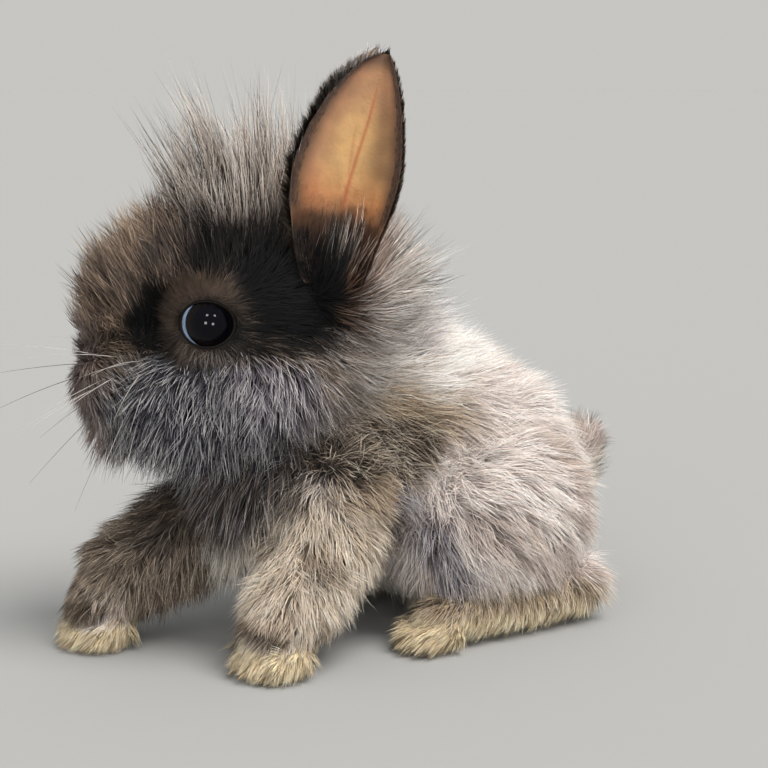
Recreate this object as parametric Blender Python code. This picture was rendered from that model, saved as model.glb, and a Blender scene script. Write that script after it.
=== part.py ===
"""A young long-coated mini lop rabbit sitting on all four feet, at life size.

Lengths are in millimetres, and the whole model is scaled to metres at the end.
The body faces -Y and its left side is +X. The head is turned to the animal's right.
The head has a frame of its own, with forward, left and up measured from between the eyes.
"""

import math
import random

import bmesh
import bpy
from mathutils import Matrix, Vector
from mathutils.bvhtree import BVHTree

MM = 0.001
GAP = 0.3
FLOOR = 0.0
BELLY_CLEARANCE = 1.6

# How much of the coat's depth the plain core of a node holds. The locks reach the rest of the way.
CORE_SHARE = 0.5
SEED = 7

# Each kind of lock: how far apart the roots stand, its length, width and thickness, how much the
# root stands up, how high the tip ends over the core, and how many stations it bends at.
LOCKS = {
    "crown": {"apart": 6.5, "length": 21, "width": 8, "thick": 1.8, "stand": 0.5, "rise": 11, "bends": 4},
    "brow": {"apart": 8.4, "length": 13, "width": 10, "thick": 1.6, "stand": 0.8, "rise": 4.2, "bends": 3},
    "cheek": {"apart": 9.0, "length": 20, "width": 10, "thick": 1.6, "stand": 0.3, "rise": 3.0, "bends": 4},
    "nape": {"apart": 9.5, "length": 16, "width": 10, "thick": 1.6, "stand": 0.4, "rise": 4.0, "bends": 3},
    "mane": {"apart": 10.0, "length": 19, "width": 11, "thick": 1.8, "stand": 0.6, "rise": 7.5, "bends": 4},
    "body": {"apart": 12.0, "length": 20, "width": 13, "thick": 1.8, "stand": 0.3, "rise": 4.8, "bends": 3},
    "breast": {"apart": 10.0, "length": 15, "width": 11, "thick": 1.6, "stand": 0.2, "rise": 3.2, "bends": 3},
    "thigh": {"apart": 13.5, "length": 17, "width": 13, "thick": 1.6, "stand": 0.2, "rise": 3.2, "bends": 3},
    "tail": {"apart": 8.5, "length": 10, "width": 9, "thick": 1.6, "stand": 0.3, "rise": 2.0, "bends": 3},
}
ROOT_DEPTH = 2.4
LOCK_CLEARANCE = 0.5
LOCK_FLOOR = 1.5
LOCK_SHORTENINGS = (1.0, 0.8, 0.62)
LEAST_SLANT = 0.35
PLACES_PER_AREA = 0.7
SEAM_DEPTH = 0.2
SHARP_ANGLE = 50.0

HEAD_PLACE = (-4.0, -7.0, 75.5)
HEAD_TURN = 40.0

EYE_RADIUS = 6.2
EYE_OUT = 12.6
EYE_FORWARD = 0.0
LID_RADIUS = 5.7
LID_THICKNESS = 1.1
LID_OUT = 3.2
LID_STEPS = 16
NOSE_FORWARD = 31.0
NOSE_UP = -8.6
NOSTRIL_OUT = 2.1
NOSTRIL_TILT = 28.0
MOUTH_DROP = 9.4
MOUTH_LENGTH = 8.0
MOUTH_FALL = 2.4

# The whiskers of one side stand in rows inside the pad of the muzzle. The first one has this start
# and this way. Each step back along a row and each row down shifts the start and turns the way.
WHISKER_ROWS = 4
WHISKERS_IN_ROW = 2
WHISKER_LENGTH = 35.0
WHISKER_LENGTH_SPREAD = 0.08
WHISKER_RADIUS = 0.45
WHISKER_TIP_RADIUS = 0.12
WHISKER_BENDS = 3
WHISKER_DROOP = 4.0
WHISKER_START = (23.0, 4.5, -9.5)
WHISKER_WAY = (0.86, 0.62, 0.2)
START_PER_PLACE = (-3.0, 0.8, 0.0)
START_PER_ROW = (-0.6, 0.0, -2.0)
WAY_PER_PLACE = (-0.32, 0.2, 0.02)
WAY_PER_ROW = (-0.08, -0.02, -0.3)

EAR_LENGTH = 49.0
EAR_HALF_WIDTH = 11.5
EAR_FRONT_BULGE = 2.2
EAR_THICKNESS = 1.8
EAR_OUT = 11.0
EAR_BACK = 27.5
EAR_UP = 9.0
EAR_SWEEP = 2.5
EAR_OPENING = (0.1, 1.0, 0.1)
EAR_STATIONS = 12
EAR_STEPS = 8
# Half the angle that the shell of the ear wraps through, at its root and over its upper part.
EAR_WRAP_AT_ROOT = 95.0
EAR_WRAP_ABOVE = 40.0
EAR_WRAP_SHARE = 0.62

FOREPAW_SPREAD = 20.0
LEFT_FOREPAW_Y = -8.0
RIGHT_FOREPAW_Y = -30.0
HIND_FOOT_SPREAD = 26.0
HIND_FOOT_LENGTH = 46.0
HIND_TOE_Y = 24.0
TOE_LENGTH = 5.0
TOE_CURVE = 0.08

COATS = {
    "agouti": ((0.33, 0.28, 0.23), 0.85),
    "cream": ((0.62, 0.52, 0.38), 0.85),
    "ear": ((0.45, 0.27, 0.18), 0.7),
    "eye": ((0.01, 0.008, 0.01), 0.08),
}


def clear_scene():
    for obj in list(bpy.data.objects):
        bpy.data.objects.remove(obj)


def coat_material(name):
    colour, roughness = COATS[name]
    material = bpy.data.materials.get(name) or bpy.data.materials.new(name)
    material.use_nodes = True
    shader = material.node_tree.nodes["Principled BSDF"]
    shader.inputs["Base Color"].default_value = (*colour, 1.0)
    shader.inputs["Roughness"].default_value = roughness
    shader.inputs["Metallic"].default_value = 0.0
    return material


BODY = Matrix.Identity(4)
HEAD = Matrix.Translation(HEAD_PLACE) @ Matrix.Rotation(math.radians(-90.0 - HEAD_TURN), 4, "Z")


def object_of(name, mesh_data):
    """Links a bmesh as an object."""
    mesh = bpy.data.meshes.new(name)
    mesh_data.to_mesh(mesh)
    mesh_data.free()
    obj = bpy.data.objects.new(name, mesh)
    bpy.context.scene.collection.objects.link(obj)
    return obj


def apply_modifiers(obj):
    graph = bpy.context.evaluated_depsgraph_get()
    mesh = bpy.data.meshes.new_from_object(obj.evaluated_get(graph))
    obj.modifiers.clear()
    old = obj.data
    obj.data = mesh
    bpy.data.meshes.remove(old)
    return obj


def add_egg(mesh_data, place, centre, radii, coat=(0.0, 0.0, 0.0), drift=(0.0, 0.0, 0.0), detail=3):
    """An ellipsoid of flesh, grown by the core's share of the coat and moved the way the coat lies."""
    middle = Vector(centre) + Vector(drift) * CORE_SHARE
    size = [radius + depth * CORE_SHARE for radius, depth in zip(radii, coat)]
    matrix = place @ Matrix.Translation(middle) @ Matrix.Diagonal((*size, 1.0))
    bmesh.ops.create_icosphere(mesh_data, subdivisions=detail, radius=1.0, matrix=matrix)


def add_pair(mesh_data, centre, radii, coat=(0.0, 0.0, 0.0), drift=(0.0, 0.0, 0.0)):
    """The same ellipsoid on the left and on the right of the head."""
    for side in (1.0, -1.0):
        middle = (centre[0], centre[1] * side, centre[2])
        moved = (drift[0], drift[1] * side, drift[2])
        add_egg(mesh_data, HEAD, middle, radii, coat, moved)


def add_limb(mesh_data, joints):
    """Spheres strung closely from joint to joint; each joint is (x, y, z, radius)."""
    for start, end in zip(joints, joints[1:]):
        length = (Vector(end[:3]) - Vector(start[:3])).length
        count = max(2, round(length / (0.25 * min(start[3], end[3]))))
        for step in range(count + 1):
            share = step / count
            x, y, z, radius = (a + (b - a) * share for a, b in zip(start, end))
            matrix = Matrix.Translation((x, y, z))
            bmesh.ops.create_icosphere(mesh_data, subdivisions=2, radius=radius, matrix=matrix)


def melted(name, mesh_data, voxel, passes, triangles):
    """Melts overlapping shapes into one smooth closed form of about that many triangles."""
    obj = object_of(name, mesh_data)
    remesh = obj.modifiers.new("Melt", "REMESH")
    remesh.mode = "VOXEL"
    remesh.voxel_size = voxel
    smooth = obj.modifiers.new("Soften", "SMOOTH")
    smooth.factor = 0.5
    smooth.iterations = passes
    apply_modifiers(obj)
    faces = sum(len(polygon.vertices) - 2 for polygon in obj.data.polygons)
    decimate = obj.modifiers.new("Thin", "DECIMATE")
    decimate.ratio = min(1.0, triangles / faces)
    decimate.use_collapse_triangulate = True
    return apply_modifiers(obj)


def grown(obj, distance):
    """A copy of the object swollen by a distance along its normals, as a cutter."""
    cutter = bpy.data.objects.new(obj.name + "_clearance", obj.data.copy())
    bpy.context.scene.collection.objects.link(cutter)
    normals = [vertex.normal.copy() for vertex in cutter.data.vertices]
    for vertex, normal in zip(cutter.data.vertices, normals):
        vertex.co += normal * distance
    return cutter


def combine(obj, others, operation):
    """One Boolean of the object with a collection of helpers, which are then removed."""
    helpers = bpy.data.collections.new("helpers")
    bpy.context.scene.collection.children.link(helpers)
    for other in others:
        helpers.objects.link(other)
    boolean = obj.modifiers.new("Combine", "BOOLEAN")
    boolean.operation = operation
    boolean.operand_type = "COLLECTION"
    boolean.collection = helpers
    boolean.solver = "EXACT"
    apply_modifiers(obj)
    for other in others:
        bpy.data.objects.remove(other)
    bpy.data.collections.remove(helpers)
    return keep_largest(obj)


def keep_largest(obj):
    """Keeps the closed surface with the largest box and drops loose scraps and sealed hollows."""
    shape = bmesh.new()
    shape.from_mesh(obj.data)
    unseen = set(shape.verts)
    groups = []
    while unseen:
        group = set()
        edge_of_group = [unseen.pop()]
        while edge_of_group:
            vertex = edge_of_group.pop()
            group.add(vertex)
            for edge in vertex.link_edges:
                other = edge.other_vert(vertex)
                if other in unseen:
                    unseen.remove(other)
                    edge_of_group.append(other)
        groups.append(group)
    largest = max(groups, key=spread)
    scraps = [vertex for group in groups if group is not largest for vertex in group]
    bmesh.ops.delete(shape, geom=scraps, context="VERTS")
    bmesh.ops.triangulate(shape, faces=shape.faces)
    shape.to_mesh(obj.data)
    shape.free()
    return obj


def spread(vertices):
    """The diagonal of the box round some vertices."""
    low = Vector(min(vertex.co[axis] for vertex in vertices) for axis in range(3))
    high = Vector(max(vertex.co[axis] for vertex in vertices) for axis in range(3))
    return (high - low).length


def level_off(obj, height):
    """Cuts the object flat at a height, so that nothing of it is lower."""
    shape = bmesh.new()
    shape.from_mesh(obj.data)
    everything = [*shape.verts, *shape.edges, *shape.faces]
    cut = bmesh.ops.bisect_plane(
        shape, geom=everything, plane_co=(0.0, 0.0, height), plane_no=(0.0, 0.0, -1.0), clear_outer=True
    )
    rim = [item for item in cut["geom_cut"] if isinstance(item, bmesh.types.BMEdge)]
    bmesh.ops.holes_fill(shape, edges=rim, sides=0)
    bmesh.ops.triangulate(shape, faces=shape.faces)
    bmesh.ops.recalc_face_normals(shape, faces=shape.faces)
    shape.to_mesh(obj.data)
    shape.free()
    return obj


def tube(name, points, radii, sides=6, closed=False):
    """A round tube through some points, closed into a ring or capped at both ends."""
    shape = bmesh.new()
    rings = []
    count = len(points)
    for index, point in enumerate(points):
        before = points[index - 1] if closed or index else point
        after = points[(index + 1) % count] if closed or index < count - 1 else point
        along = (after - before).normalized()
        side = along.orthogonal() if abs(along.z) > 0.95 else along.cross(Vector((0, 0, 1)))
        side.normalize()
        other = side.cross(along)
        ring = []
        for step in range(sides):
            angle = 2 * math.pi * step / sides
            spoke = side * math.cos(angle) + other * math.sin(angle)
            ring.append(shape.verts.new(point + radii[index] * spoke))
        rings.append(ring)
    for index in range(count if closed else count - 1):
        here, there = rings[index], rings[(index + 1) % count]
        start = 0
        if closed and index == count - 1:
            start = min(range(sides), key=lambda step: (here[0].co - there[step].co).length)
        for step in range(sides):
            a, b = step, (step + 1) % sides
            c, d = (start + b) % sides, (start + a) % sides
            shape.faces.new([here[a], here[b], there[c], there[d]])
    if not closed:
        shape.faces.new(rings[0][::-1])
        shape.faces.new(rings[-1])
    bmesh.ops.triangulate(shape, faces=shape.faces)
    bmesh.ops.recalc_face_normals(shape, faces=shape.faces)
    return object_of(name, shape)


def head_core():
    """The head without its ears and eyes, in its own frame of forward, left and up."""
    shape = bmesh.new()
    add_egg(shape, HEAD, (-8, 0, 3), (21, 15.5, 15), coat=(9, 1.5, 9))
    add_egg(shape, HEAD, (9, 0, 6), (12.5, 10, 10), coat=(8, 4, 9), drift=(2.5, 0, 6))
    add_egg(shape, HEAD, (-4, 0, 14), (8, 7, 4), coat=(6, 5, 14), drift=(0, 0, 13))
    add_egg(shape, HEAD, (17, 0, 1), (10.2, 8, 9.5), coat=(2, 1, 2), drift=(0, 0, 1))
    add_egg(shape, HEAD, (17.5, 0, -12), (13, 9.5, 11))
    add_pair(shape, (23, 4.2, -14), (7.8, 6.3, 7.4))
    add_egg(shape, HEAD, (21.5, 0, -22), (7.5, 6, 5.5), coat=(2, 1, 3))
    add_egg(shape, HEAD, (29.5, 0, -9), (2.4, 3.4, 2.4))
    add_pair(shape, (2, 8, -15), (13, 8, 9), coat=(6, 6, 17), drift=(1, 1, -9))
    add_pair(shape, (-10, 9, -11), (14, 8, 10), coat=(8, 6, 10), drift=(-3, 1, -5))
    add_egg(shape, HEAD, (8, 0, -18), (12, 8, 6), coat=(5, 6, 9), drift=(-3, 0, -5))
    add_egg(shape, HEAD, (-20, 0, -4), (12, 13, 13), coat=(8, 6, 9), drift=(-3, 0, 0))
    return melted("head", shape, voxel=1.1, passes=5, triangles=1200)


def lid(name, side):
    """The rim of the lids, a slightly almond ring that holds the eye."""
    points = []
    for step in range(LID_STEPS):
        angle = 2 * math.pi * step / LID_STEPS
        forward = EYE_FORWARD + 1.08 * LID_RADIUS * math.cos(angle)
        up = 0.93 * LID_RADIUS * math.sin(angle)
        out = EYE_OUT + LID_OUT - 0.6 * abs(math.cos(angle))
        points.append(HEAD @ Vector((forward, side * out, up)))
    return tube(name, points, [LID_THICKNESS] * LID_STEPS, closed=True)


def whiskers(side):
    """The whiskers of one side, fanned forward, out and down from the pad of the muzzle."""
    draw = random.Random(SEED)
    rods = []
    for row in range(WHISKER_ROWS):
        for place in range(WHISKERS_IN_ROW):
            steps = (1.0, place, row)
            start = Vector(sum(a * b for a, b in zip(steps, parts)) for parts in zip(
                WHISKER_START, START_PER_PLACE, START_PER_ROW))
            way = Vector(sum(a * b for a, b in zip(steps, parts)) for parts in zip(
                WHISKER_WAY, WAY_PER_PLACE, WAY_PER_ROW)).normalized()
            length = WHISKER_LENGTH * draw.uniform(1.0 - WHISKER_LENGTH_SPREAD, 1.0)
            points, radii = [], []
            for bend in range(WHISKER_BENDS + 1):
                share = bend / WHISKER_BENDS
                point = start + way * length * share - Vector((0.0, 0.0, WHISKER_DROOP * share * share))
                point.y *= side
                points.append(HEAD @ point)
                radii.append(WHISKER_RADIUS + (WHISKER_TIP_RADIUS - WHISKER_RADIUS) * share ** 2)
            rods.append(tube("whisker", points, radii, sides=3))
    return rods


def nostril(name, side):
    shape = bmesh.new()
    tilt = Matrix.Rotation(math.radians(side * NOSTRIL_TILT), 4, "X")
    place = HEAD @ Matrix.Translation((NOSE_FORWARD, side * NOSTRIL_OUT, NOSE_UP)) @ tilt
    add_egg(shape, place, (0, 0, 0), (1.6, 1.2, 0.6), detail=2)
    return object_of(name, shape)


def front_of_face(head, left, up):
    """The point of the face straight in front of a place in the head."""
    start = HEAD @ Vector((2 * NOSE_FORWARD, left, up))
    return head.ray_cast(start, HEAD.to_3x3() @ Vector((-1.0, 0.0, 0.0)))[0]


def mouth_lines(head):
    """The cleft under the nose and the line of the mouth on both sides, as cutters."""
    cleft = [front_of_face(head, 0.0, NOSE_UP - drop) for drop in (2.6, 4.2, 5.8, MOUTH_DROP)]
    cutters = [tube("cleft", cleft, [0.5, 0.6, 0.7, 0.9])]
    for side in (1, -1):
        line = []
        for step in range(6):
            share = step / 5
            left = side * (0.2 + MOUTH_LENGTH * share)
            line.append(front_of_face(head, left, NOSE_UP - MOUTH_DROP - MOUTH_FALL * share))
        cutters.append(tube("mouth_line", line, [0.9, 0.9, 0.85, 0.75, 0.6, 0.45]))
    return cutters


def neck_core():
    """The neck and withers, which carry the mane."""
    shape = bmesh.new()
    add_egg(shape, BODY, (2, 24, 58), (15, 15, 15), coat=(11, 13, 17), drift=(2, 8, 7))
    add_egg(shape, BODY, (0, 8, 56), (13, 14, 14), coat=(9, 9, 7))
    return melted("neck", shape, voxel=1.6, passes=8, triangles=450)


def torso_core():
    """The trunk from the breast to the rump."""
    shape = bmesh.new()
    add_egg(shape, BODY, (0, 8, 38), (17, 19, 19), coat=(7, 7, 7), drift=(0, -1, -1))
    add_egg(shape, BODY, (0, 27, 40), (21, 26, 23), coat=(10, 10, 10), drift=(0, 3, 0))
    add_egg(shape, BODY, (0, 42, 44), (20, 22, 19), coat=(10, 10, 10), drift=(0, 4, 2))
    add_egg(shape, BODY, (0, 52, 31), (24, 30, 25), coat=(11, 11, 11), drift=(0, 4, -1))
    obj = melted("torso", shape, voxel=1.8, passes=8, triangles=950)
    return level_off(obj, BELLY_CLEARANCE)


def add_toes(shape, x, y, radius, spread_of_toes, count=4):
    """The toes of one foot, side by side across its front end."""
    for index in range(count):
        across = (index / (count - 1) - 0.5) * spread_of_toes
        tip_y = y + TOE_CURVE * across * across
        knuckle = (x + across, tip_y + TOE_LENGTH, radius, radius)
        tip = (x + across, tip_y, radius - 0.8, radius)
        add_limb(shape, [knuckle, tip])


def foreleg(name, side, paw_y):
    x = side * FOREPAW_SPREAD
    shape = bmesh.new()
    joints = [
        (side * 15, 9, 39, 13),
        (side * 17, 0.35 * paw_y + 9, 27, 12.5),
        (0.97 * x, paw_y + 6, 16, 11),
        (x, paw_y, 9, 9.6),
    ]
    add_limb(shape, joints)
    add_toes(shape, x, paw_y - 7, 5.0, 11.5)
    obj = melted(name, shape, voxel=1.1, passes=5, triangles=420)
    return level_off(obj, FLOOR)


def hind_leg(name, side):
    x = side * HIND_FOOT_SPREAD
    shape = bmesh.new()
    add_egg(shape, BODY, (side * 20, 51, 24.5), (13, 23, 20), coat=(6, 5, 5), drift=(0, 1, 1))
    joints = [
        (x, HIND_TOE_Y + HIND_FOOT_LENGTH, 8, 8.5),
        (x, HIND_TOE_Y + 0.55 * HIND_FOOT_LENGTH, 7, 7.6),
        (x, HIND_TOE_Y + 8, 6, 6.6),
    ]
    add_limb(shape, joints)
    add_toes(shape, x, HIND_TOE_Y, 4.2, 8.5)
    obj = melted(name, shape, voxel=1.3, passes=5, triangles=480)
    return level_off(obj, FLOOR)


def tail_core():
    shape = bmesh.new()
    add_limb(shape, [(0, 88, 24, 7), (0, 96, 30, 7.5), (0, 98, 36, 6)])
    return melted("tail", shape, voxel=1.2, passes=4, triangles=140)


def eye(name, side):
    shape = bmesh.new()
    centre = HEAD @ Vector((EYE_FORWARD, side * EYE_OUT, 0.0))
    bmesh.ops.create_icosphere(shape, subdivisions=3, radius=EYE_RADIUS, matrix=Matrix.Translation(centre))
    return object_of(name, shape)


def ear_outline(share):
    """The half width of the ear at a share of its length, as a part of its widest."""
    return math.sin(math.pi * (0.14 + 0.855 * share)) ** 0.6


def ear(name, side, lean_out, lean_back):
    """A cupped ear: an arc of constant thickness swept up a gently bent midrib."""
    root = Vector((-EAR_BACK, side * EAR_OUT, EAR_UP))
    lean = Vector((-math.sin(math.radians(lean_back)), side * math.sin(math.radians(lean_out)), 1.0))
    lean.normalize()
    open_way = Vector(EAR_OPENING)
    open_way.y *= side
    open_way = (open_way - lean * open_way.dot(lean)).normalized()
    side_way = lean.cross(open_way)
    shape = bmesh.new()
    layers = []
    for layer in (0.5, -0.5):
        rows = []
        for station in range(EAR_STATIONS):
            share = station / (EAR_STATIONS - 1)
            half_width = EAR_HALF_WIDTH * ear_outline(share)
            unrolled = min(1.0, share / EAR_WRAP_SHARE)
            wrap = math.radians(EAR_WRAP_AT_ROOT + (EAR_WRAP_ABOVE - EAR_WRAP_AT_ROOT) * unrolled)
            radius = half_width / math.sin(min(wrap, math.pi / 2))
            middle = root + lean * EAR_LENGTH * share - open_way * EAR_SWEEP * share * share
            middle.x += EAR_FRONT_BULGE * math.sqrt(math.sin(math.pi * share))
            row = []
            for step in range(EAR_STEPS + 1):
                angle = wrap * (2.0 * step / EAR_STEPS - 1.0)
                inward = open_way * math.cos(angle) - side_way * math.sin(angle)
                point = middle + open_way * radius - inward * (radius - layer * EAR_THICKNESS)
                row.append(shape.verts.new(HEAD @ point))
            rows.append(row)
        layers.append(rows)
    close_shell(shape, layers)
    return object_of(name, shape)


def close_shell(shape, layers):
    """Joins two like grids of vertices into one closed shell."""
    inner, outer = layers
    last_row, last_step = len(inner) - 1, len(inner[0]) - 1
    for row in range(last_row):
        for step in range(last_step):
            for grid, turned in ((inner, False), (outer, True)):
                corners = [grid[row][step], grid[row][step + 1], grid[row + 1][step + 1], grid[row + 1][step]]
                shape.faces.new(corners[::-1] if turned else corners)
    for row in range(last_row):
        for step in (0, last_step):
            shape.faces.new([inner[row][step], inner[row + 1][step], outer[row + 1][step], outer[row][step]])
    for step in range(last_step):
        for row in (0, last_row):
            shape.faces.new([inner[row][step], inner[row][step + 1], outer[row][step + 1], outer[row][step]])
    bmesh.ops.triangulate(shape, faces=shape.faces)
    bmesh.ops.recalc_face_normals(shape, faces=shape.faces)


def head_flow(point):
    """The kind of lock at a point of the head and the way it lies, or None where the fur is short."""
    forward, left, up = HEAD.inverted() @ point
    side = 1.0 if left > 0 else -1.0
    on_muzzle = forward > 15 and -25 < up < 3
    by_the_eye = math.hypot(forward - EYE_FORWARD, up) < 11 and abs(left) > 6
    if on_muzzle or by_the_eye:
        return None
    if up > 12 and -17 < forward < 8:
        kind, flow = "crown", (-0.15 - 0.02 * forward, 0.05 * left, 1.0)
    elif up > 0 and forward > 2:
        kind, flow = "brow", (0.3, 0.25 * side, 1.0)
    elif up < -3 and forward > -9:
        kind, flow = "cheek", (0.3, 0.1 * side, -1.0)
    else:
        kind, flow = "nape", (-1.0, 0.2 * side, -0.6)
    return kind, (HEAD.to_3x3() @ Vector(flow)).normalized()


def neck_flow(point):
    return "mane", Vector((0.012 * point.x, 1.0, 0.03 * (point.z - 62))).normalized()


def torso_flow(point):
    if point.z < 11:
        return None
    if point.y < 8:
        return "breast", Vector((0.02 * point.x, 0.2, -1.0)).normalized()
    return "body", Vector((0.008 * point.x, 1.0, -0.55)).normalized()


def thigh_flow(point):
    if point.z < 15:
        return None
    return "thigh", Vector((0.0, 1.0, -0.6)).normalized()


def tail_flow(point):
    return "tail", Vector((0.03 * point.x, 0.6, 0.8)).normalized()


def surface_of(obj):
    """A search tree of the object's surface."""
    return BVHTree.FromPolygons(
        [vertex.co for vertex in obj.data.vertices], [tuple(face.vertices) for face in obj.data.polygons]
    )


def height_over(tree, point):
    """How far a point is outside a surface, less than nothing inside it, and the way out."""
    near, out, _, distance = tree.find_nearest(point)
    return (distance if (point - near).dot(out) > 0 else -distance), out


def lift_off(spot, tree, wanted):
    """Moves a point out until it is as high over a smooth surface as wanted."""
    height, out = height_over(tree, spot)
    return spot + out * (wanted - height) if height < wanted else spot


def lock_stations(own, neighbours, root, normal, flow, kind, length):
    """The middle points of one lock, from inside the core to the tip."""
    bends = kind["bends"]
    points = [root - normal * ROOT_DEPTH]
    spot = root.copy()
    for bend in range(1, bends + 1):
        share = bend / bends
        out = height_over(own, spot)[1]
        along = (flow - out * min(0.0, flow.dot(out))).normalized()
        spot = spot + (along + normal * kind["stand"] * (1.0 - share)).normalized() * length / bends
        spot = lift_off(spot, own, kind["rise"] * share)
        for tree in neighbours:
            spot = lift_off(spot, tree, LOCK_CLEARANCE + kind["thick"])
        points.append(spot)
    return points


def lock_mesh(points, across, kind, swell=0.0):
    """The corners and faces of a flat lock of diamond section that tapers to its tip."""
    corners, faces = [], []
    last = len(points) - 1
    for index in range(last):
        share = index / last
        along = (points[index + 1] - points[max(0, index - 1)]).normalized()
        side = (across - along * across.dot(along)).normalized()
        over = side.cross(along)
        half_width = 0.5 * kind["width"] * (0.8 + 0.9 * share) * (1.0 - share) ** 0.55 + swell
        half_thick = 0.5 * kind["thick"] * (1.0 - 0.75 * share) + swell
        centre = points[index]
        corners += [centre + side * half_width, centre + over * half_thick]
        corners += [centre - side * half_width, centre - over * half_thick]
        if index:
            first = 4 * (index - 1)
            for step in range(4):
                after = (step + 1) % 4
                a, b, c, d = first + step, first + after, first + 4 + after, first + 4 + step
                faces += [(a, b, c), (a, c, d)]
    corners.append(points[-1] + (points[-1] - points[-2]).normalized() * swell)
    first = 4 * (last - 1)
    faces += [(first + step, first + (step + 1) % 4, len(corners) - 1) for step in range(4)]
    faces += [(2, 1, 0), (3, 2, 0)]
    return corners, faces


def is_clear(corners, faces, others):
    """Whether a lock stays over the floor and clear of the surfaces and locks of other nodes."""
    samples = corners + [(a + b) / 2 for a, b in zip(corners, corners[4:])]
    if min(sample.z for sample in samples) < LOCK_FLOOR:
        return False
    if any(tree.find_nearest(sample)[3] < LOCK_CLEARANCE for tree in others for sample in samples):
        return False
    solid = BVHTree.FromPolygons(corners, faces)
    return not any(solid.overlap(tree) for tree in others)


def places_on(obj, draw):
    """Random points of an object's surface with their normals, evenly over its area."""
    places = []
    for face in obj.data.polygons:
        corners = [obj.data.vertices[index].co for index in face.vertices]
        for _ in range(1 + int(face.area * PLACES_PER_AREA)):
            a, b = sorted((draw.random(), draw.random()))
            places.append((corners[0] * a + corners[1] * (b - a) + corners[2] * (1 - b), face.normal.copy()))
    draw.shuffle(places)
    return places


def grow_locks(core, own, neighbours, others, flow_at, seed):
    """Locks on one core, rooted about evenly, each kept clear of the other nodes."""
    draw = random.Random(seed)
    roots, clearances, pieces = [], [], []
    for root, normal in places_on(core, draw):
        found = flow_at(root)
        if found is None or abs(height_over(own, root)[0]) > SEAM_DEPTH:
            continue
        name, flow = found
        kind = LOCKS[name]
        if any((root - other).length < kind["apart"] for other in roots):
            continue
        across = flow.cross(normal)
        if across.length < LEAST_SLANT:
            across = across + Vector((draw.uniform(-1, 1), draw.uniform(-1, 1), 0.0))
        for shortening in LOCK_SHORTENINGS:
            length = kind["length"] * shortening * draw.uniform(0.9, 1.1)
            points = lock_stations(own, neighbours, root, normal, flow, kind, length)
            corners, faces = lock_mesh(points, across, kind)
            if not is_clear(corners, faces, others):
                continue
            roots.append(root)
            wide, wide_faces = lock_mesh(points, across, kind, swell=LOCK_CLEARANCE)
            clearances.append(BVHTree.FromPolygons(wide, wide_faces))
            shape = bmesh.new()
            verts = [shape.verts.new(corner) for corner in corners]
            for face in faces:
                shape.faces.new([verts[index] for index in face])
            bmesh.ops.recalc_face_normals(shape, faces=shape.faces)
            pieces.append(object_of(name + "_lock", shape))
            break
    return pieces, clearances


def finish_node(obj, coat):
    obj.data.materials.clear()
    obj.data.materials.append(coat_material(coat))
    obj.data.shade_smooth()
    obj.data.set_sharp_from_angle(angle=math.radians(SHARP_ANGLE))


def stand_on_origin(nodes):
    """Scales the model to metres, with the bottom centre of its box at the origin."""
    corners = [vertex.co for obj in nodes for vertex in obj.data.vertices]
    low = Vector(min(corner[axis] for corner in corners) for axis in range(3))
    high = Vector(max(corner[axis] for corner in corners) for axis in range(3))
    shift = Vector((-(low.x + high.x) / 2, -(low.y + high.y) / 2, -low.z))
    for obj in nodes:
        obj.data.transform(Matrix.Scale(MM, 4) @ Matrix.Translation(shift))


def build_rabbit():
    head = head_core()
    neck = neck_core()
    torso = torso_core()
    tail = tail_core()
    forelegs = [foreleg("left_foreleg", 1, LEFT_FOREPAW_Y), foreleg("right_foreleg", -1, RIGHT_FOREPAW_Y)]
    hind_legs = [hind_leg("left_hind_leg", 1), hind_leg("right_hind_leg", -1)]
    eyes = [eye("left_eye", 1), eye("right_eye", -1)]
    ears = [
        ear("left_ear", 1, lean_out=6, lean_back=12),
        ear("right_ear", -1, lean_out=6, lean_back=6),
    ]
    limbs = [*forelegs, *hind_legs]
    whole = {obj.name: surface_of(obj) for obj in (head, neck, torso, tail, *limbs)}
    combine(torso, [grown(head, GAP)], "DIFFERENCE")
    for one_ear in ears:
        combine(one_ear, [grown(head, GAP)], "DIFFERENCE")
    for one in (*limbs, tail):
        combine(one, [grown(torso, GAP), grown(head, GAP)], "DIFFERENCE")
    combine(neck, [grown(other, GAP) for other in (head, torso, *limbs, *ears)], "DIFFERENCE")

    carved = {obj.name: surface_of(obj) for obj in (head, neck, torso, tail, *limbs, *eyes, *ears)}
    locks_so_far = []
    flows = [(head, head_flow), (neck, neck_flow), (torso, torso_flow), (tail, tail_flow)]
    flows += [(one, thigh_flow) for one in hind_legs]
    for index, (core, flow_at) in enumerate(flows):
        neighbours = [tree for name, tree in whole.items() if name != core.name]
        others = [tree for name, tree in carved.items() if name != core.name] + locks_so_far
        pieces, clearances = grow_locks(core, whole[core.name], neighbours, others, flow_at, SEED + index)
        locks_so_far = locks_so_far + clearances
        if core is head:
            pieces += [lid("left_lid", 1), lid("right_lid", -1), *whiskers(1), *whiskers(-1)]
        combine(core, pieces, "UNION")
    cutters = [nostril("left_nostril", 1), nostril("right_nostril", -1), *mouth_lines(whole["head"])]
    combine(head, [*cutters, *(grown(one_eye, GAP) for one_eye in eyes)], "DIFFERENCE")

    for one in (head, torso, tail):
        finish_node(one, "agouti")
    for one in (neck, *limbs):
        finish_node(one, "cream")
    for one in eyes:
        finish_node(one, "eye")
    for one in ears:
        finish_node(one, "ear")
    stand_on_origin([head, neck, torso, tail, *limbs, *eyes, *ears])


clear_scene()
build_rabbit()
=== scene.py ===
import math

import bmesh
import bpy
import numpy as np
from mathutils import Matrix, Vector
from mathutils.kdtree import KDTree


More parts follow.
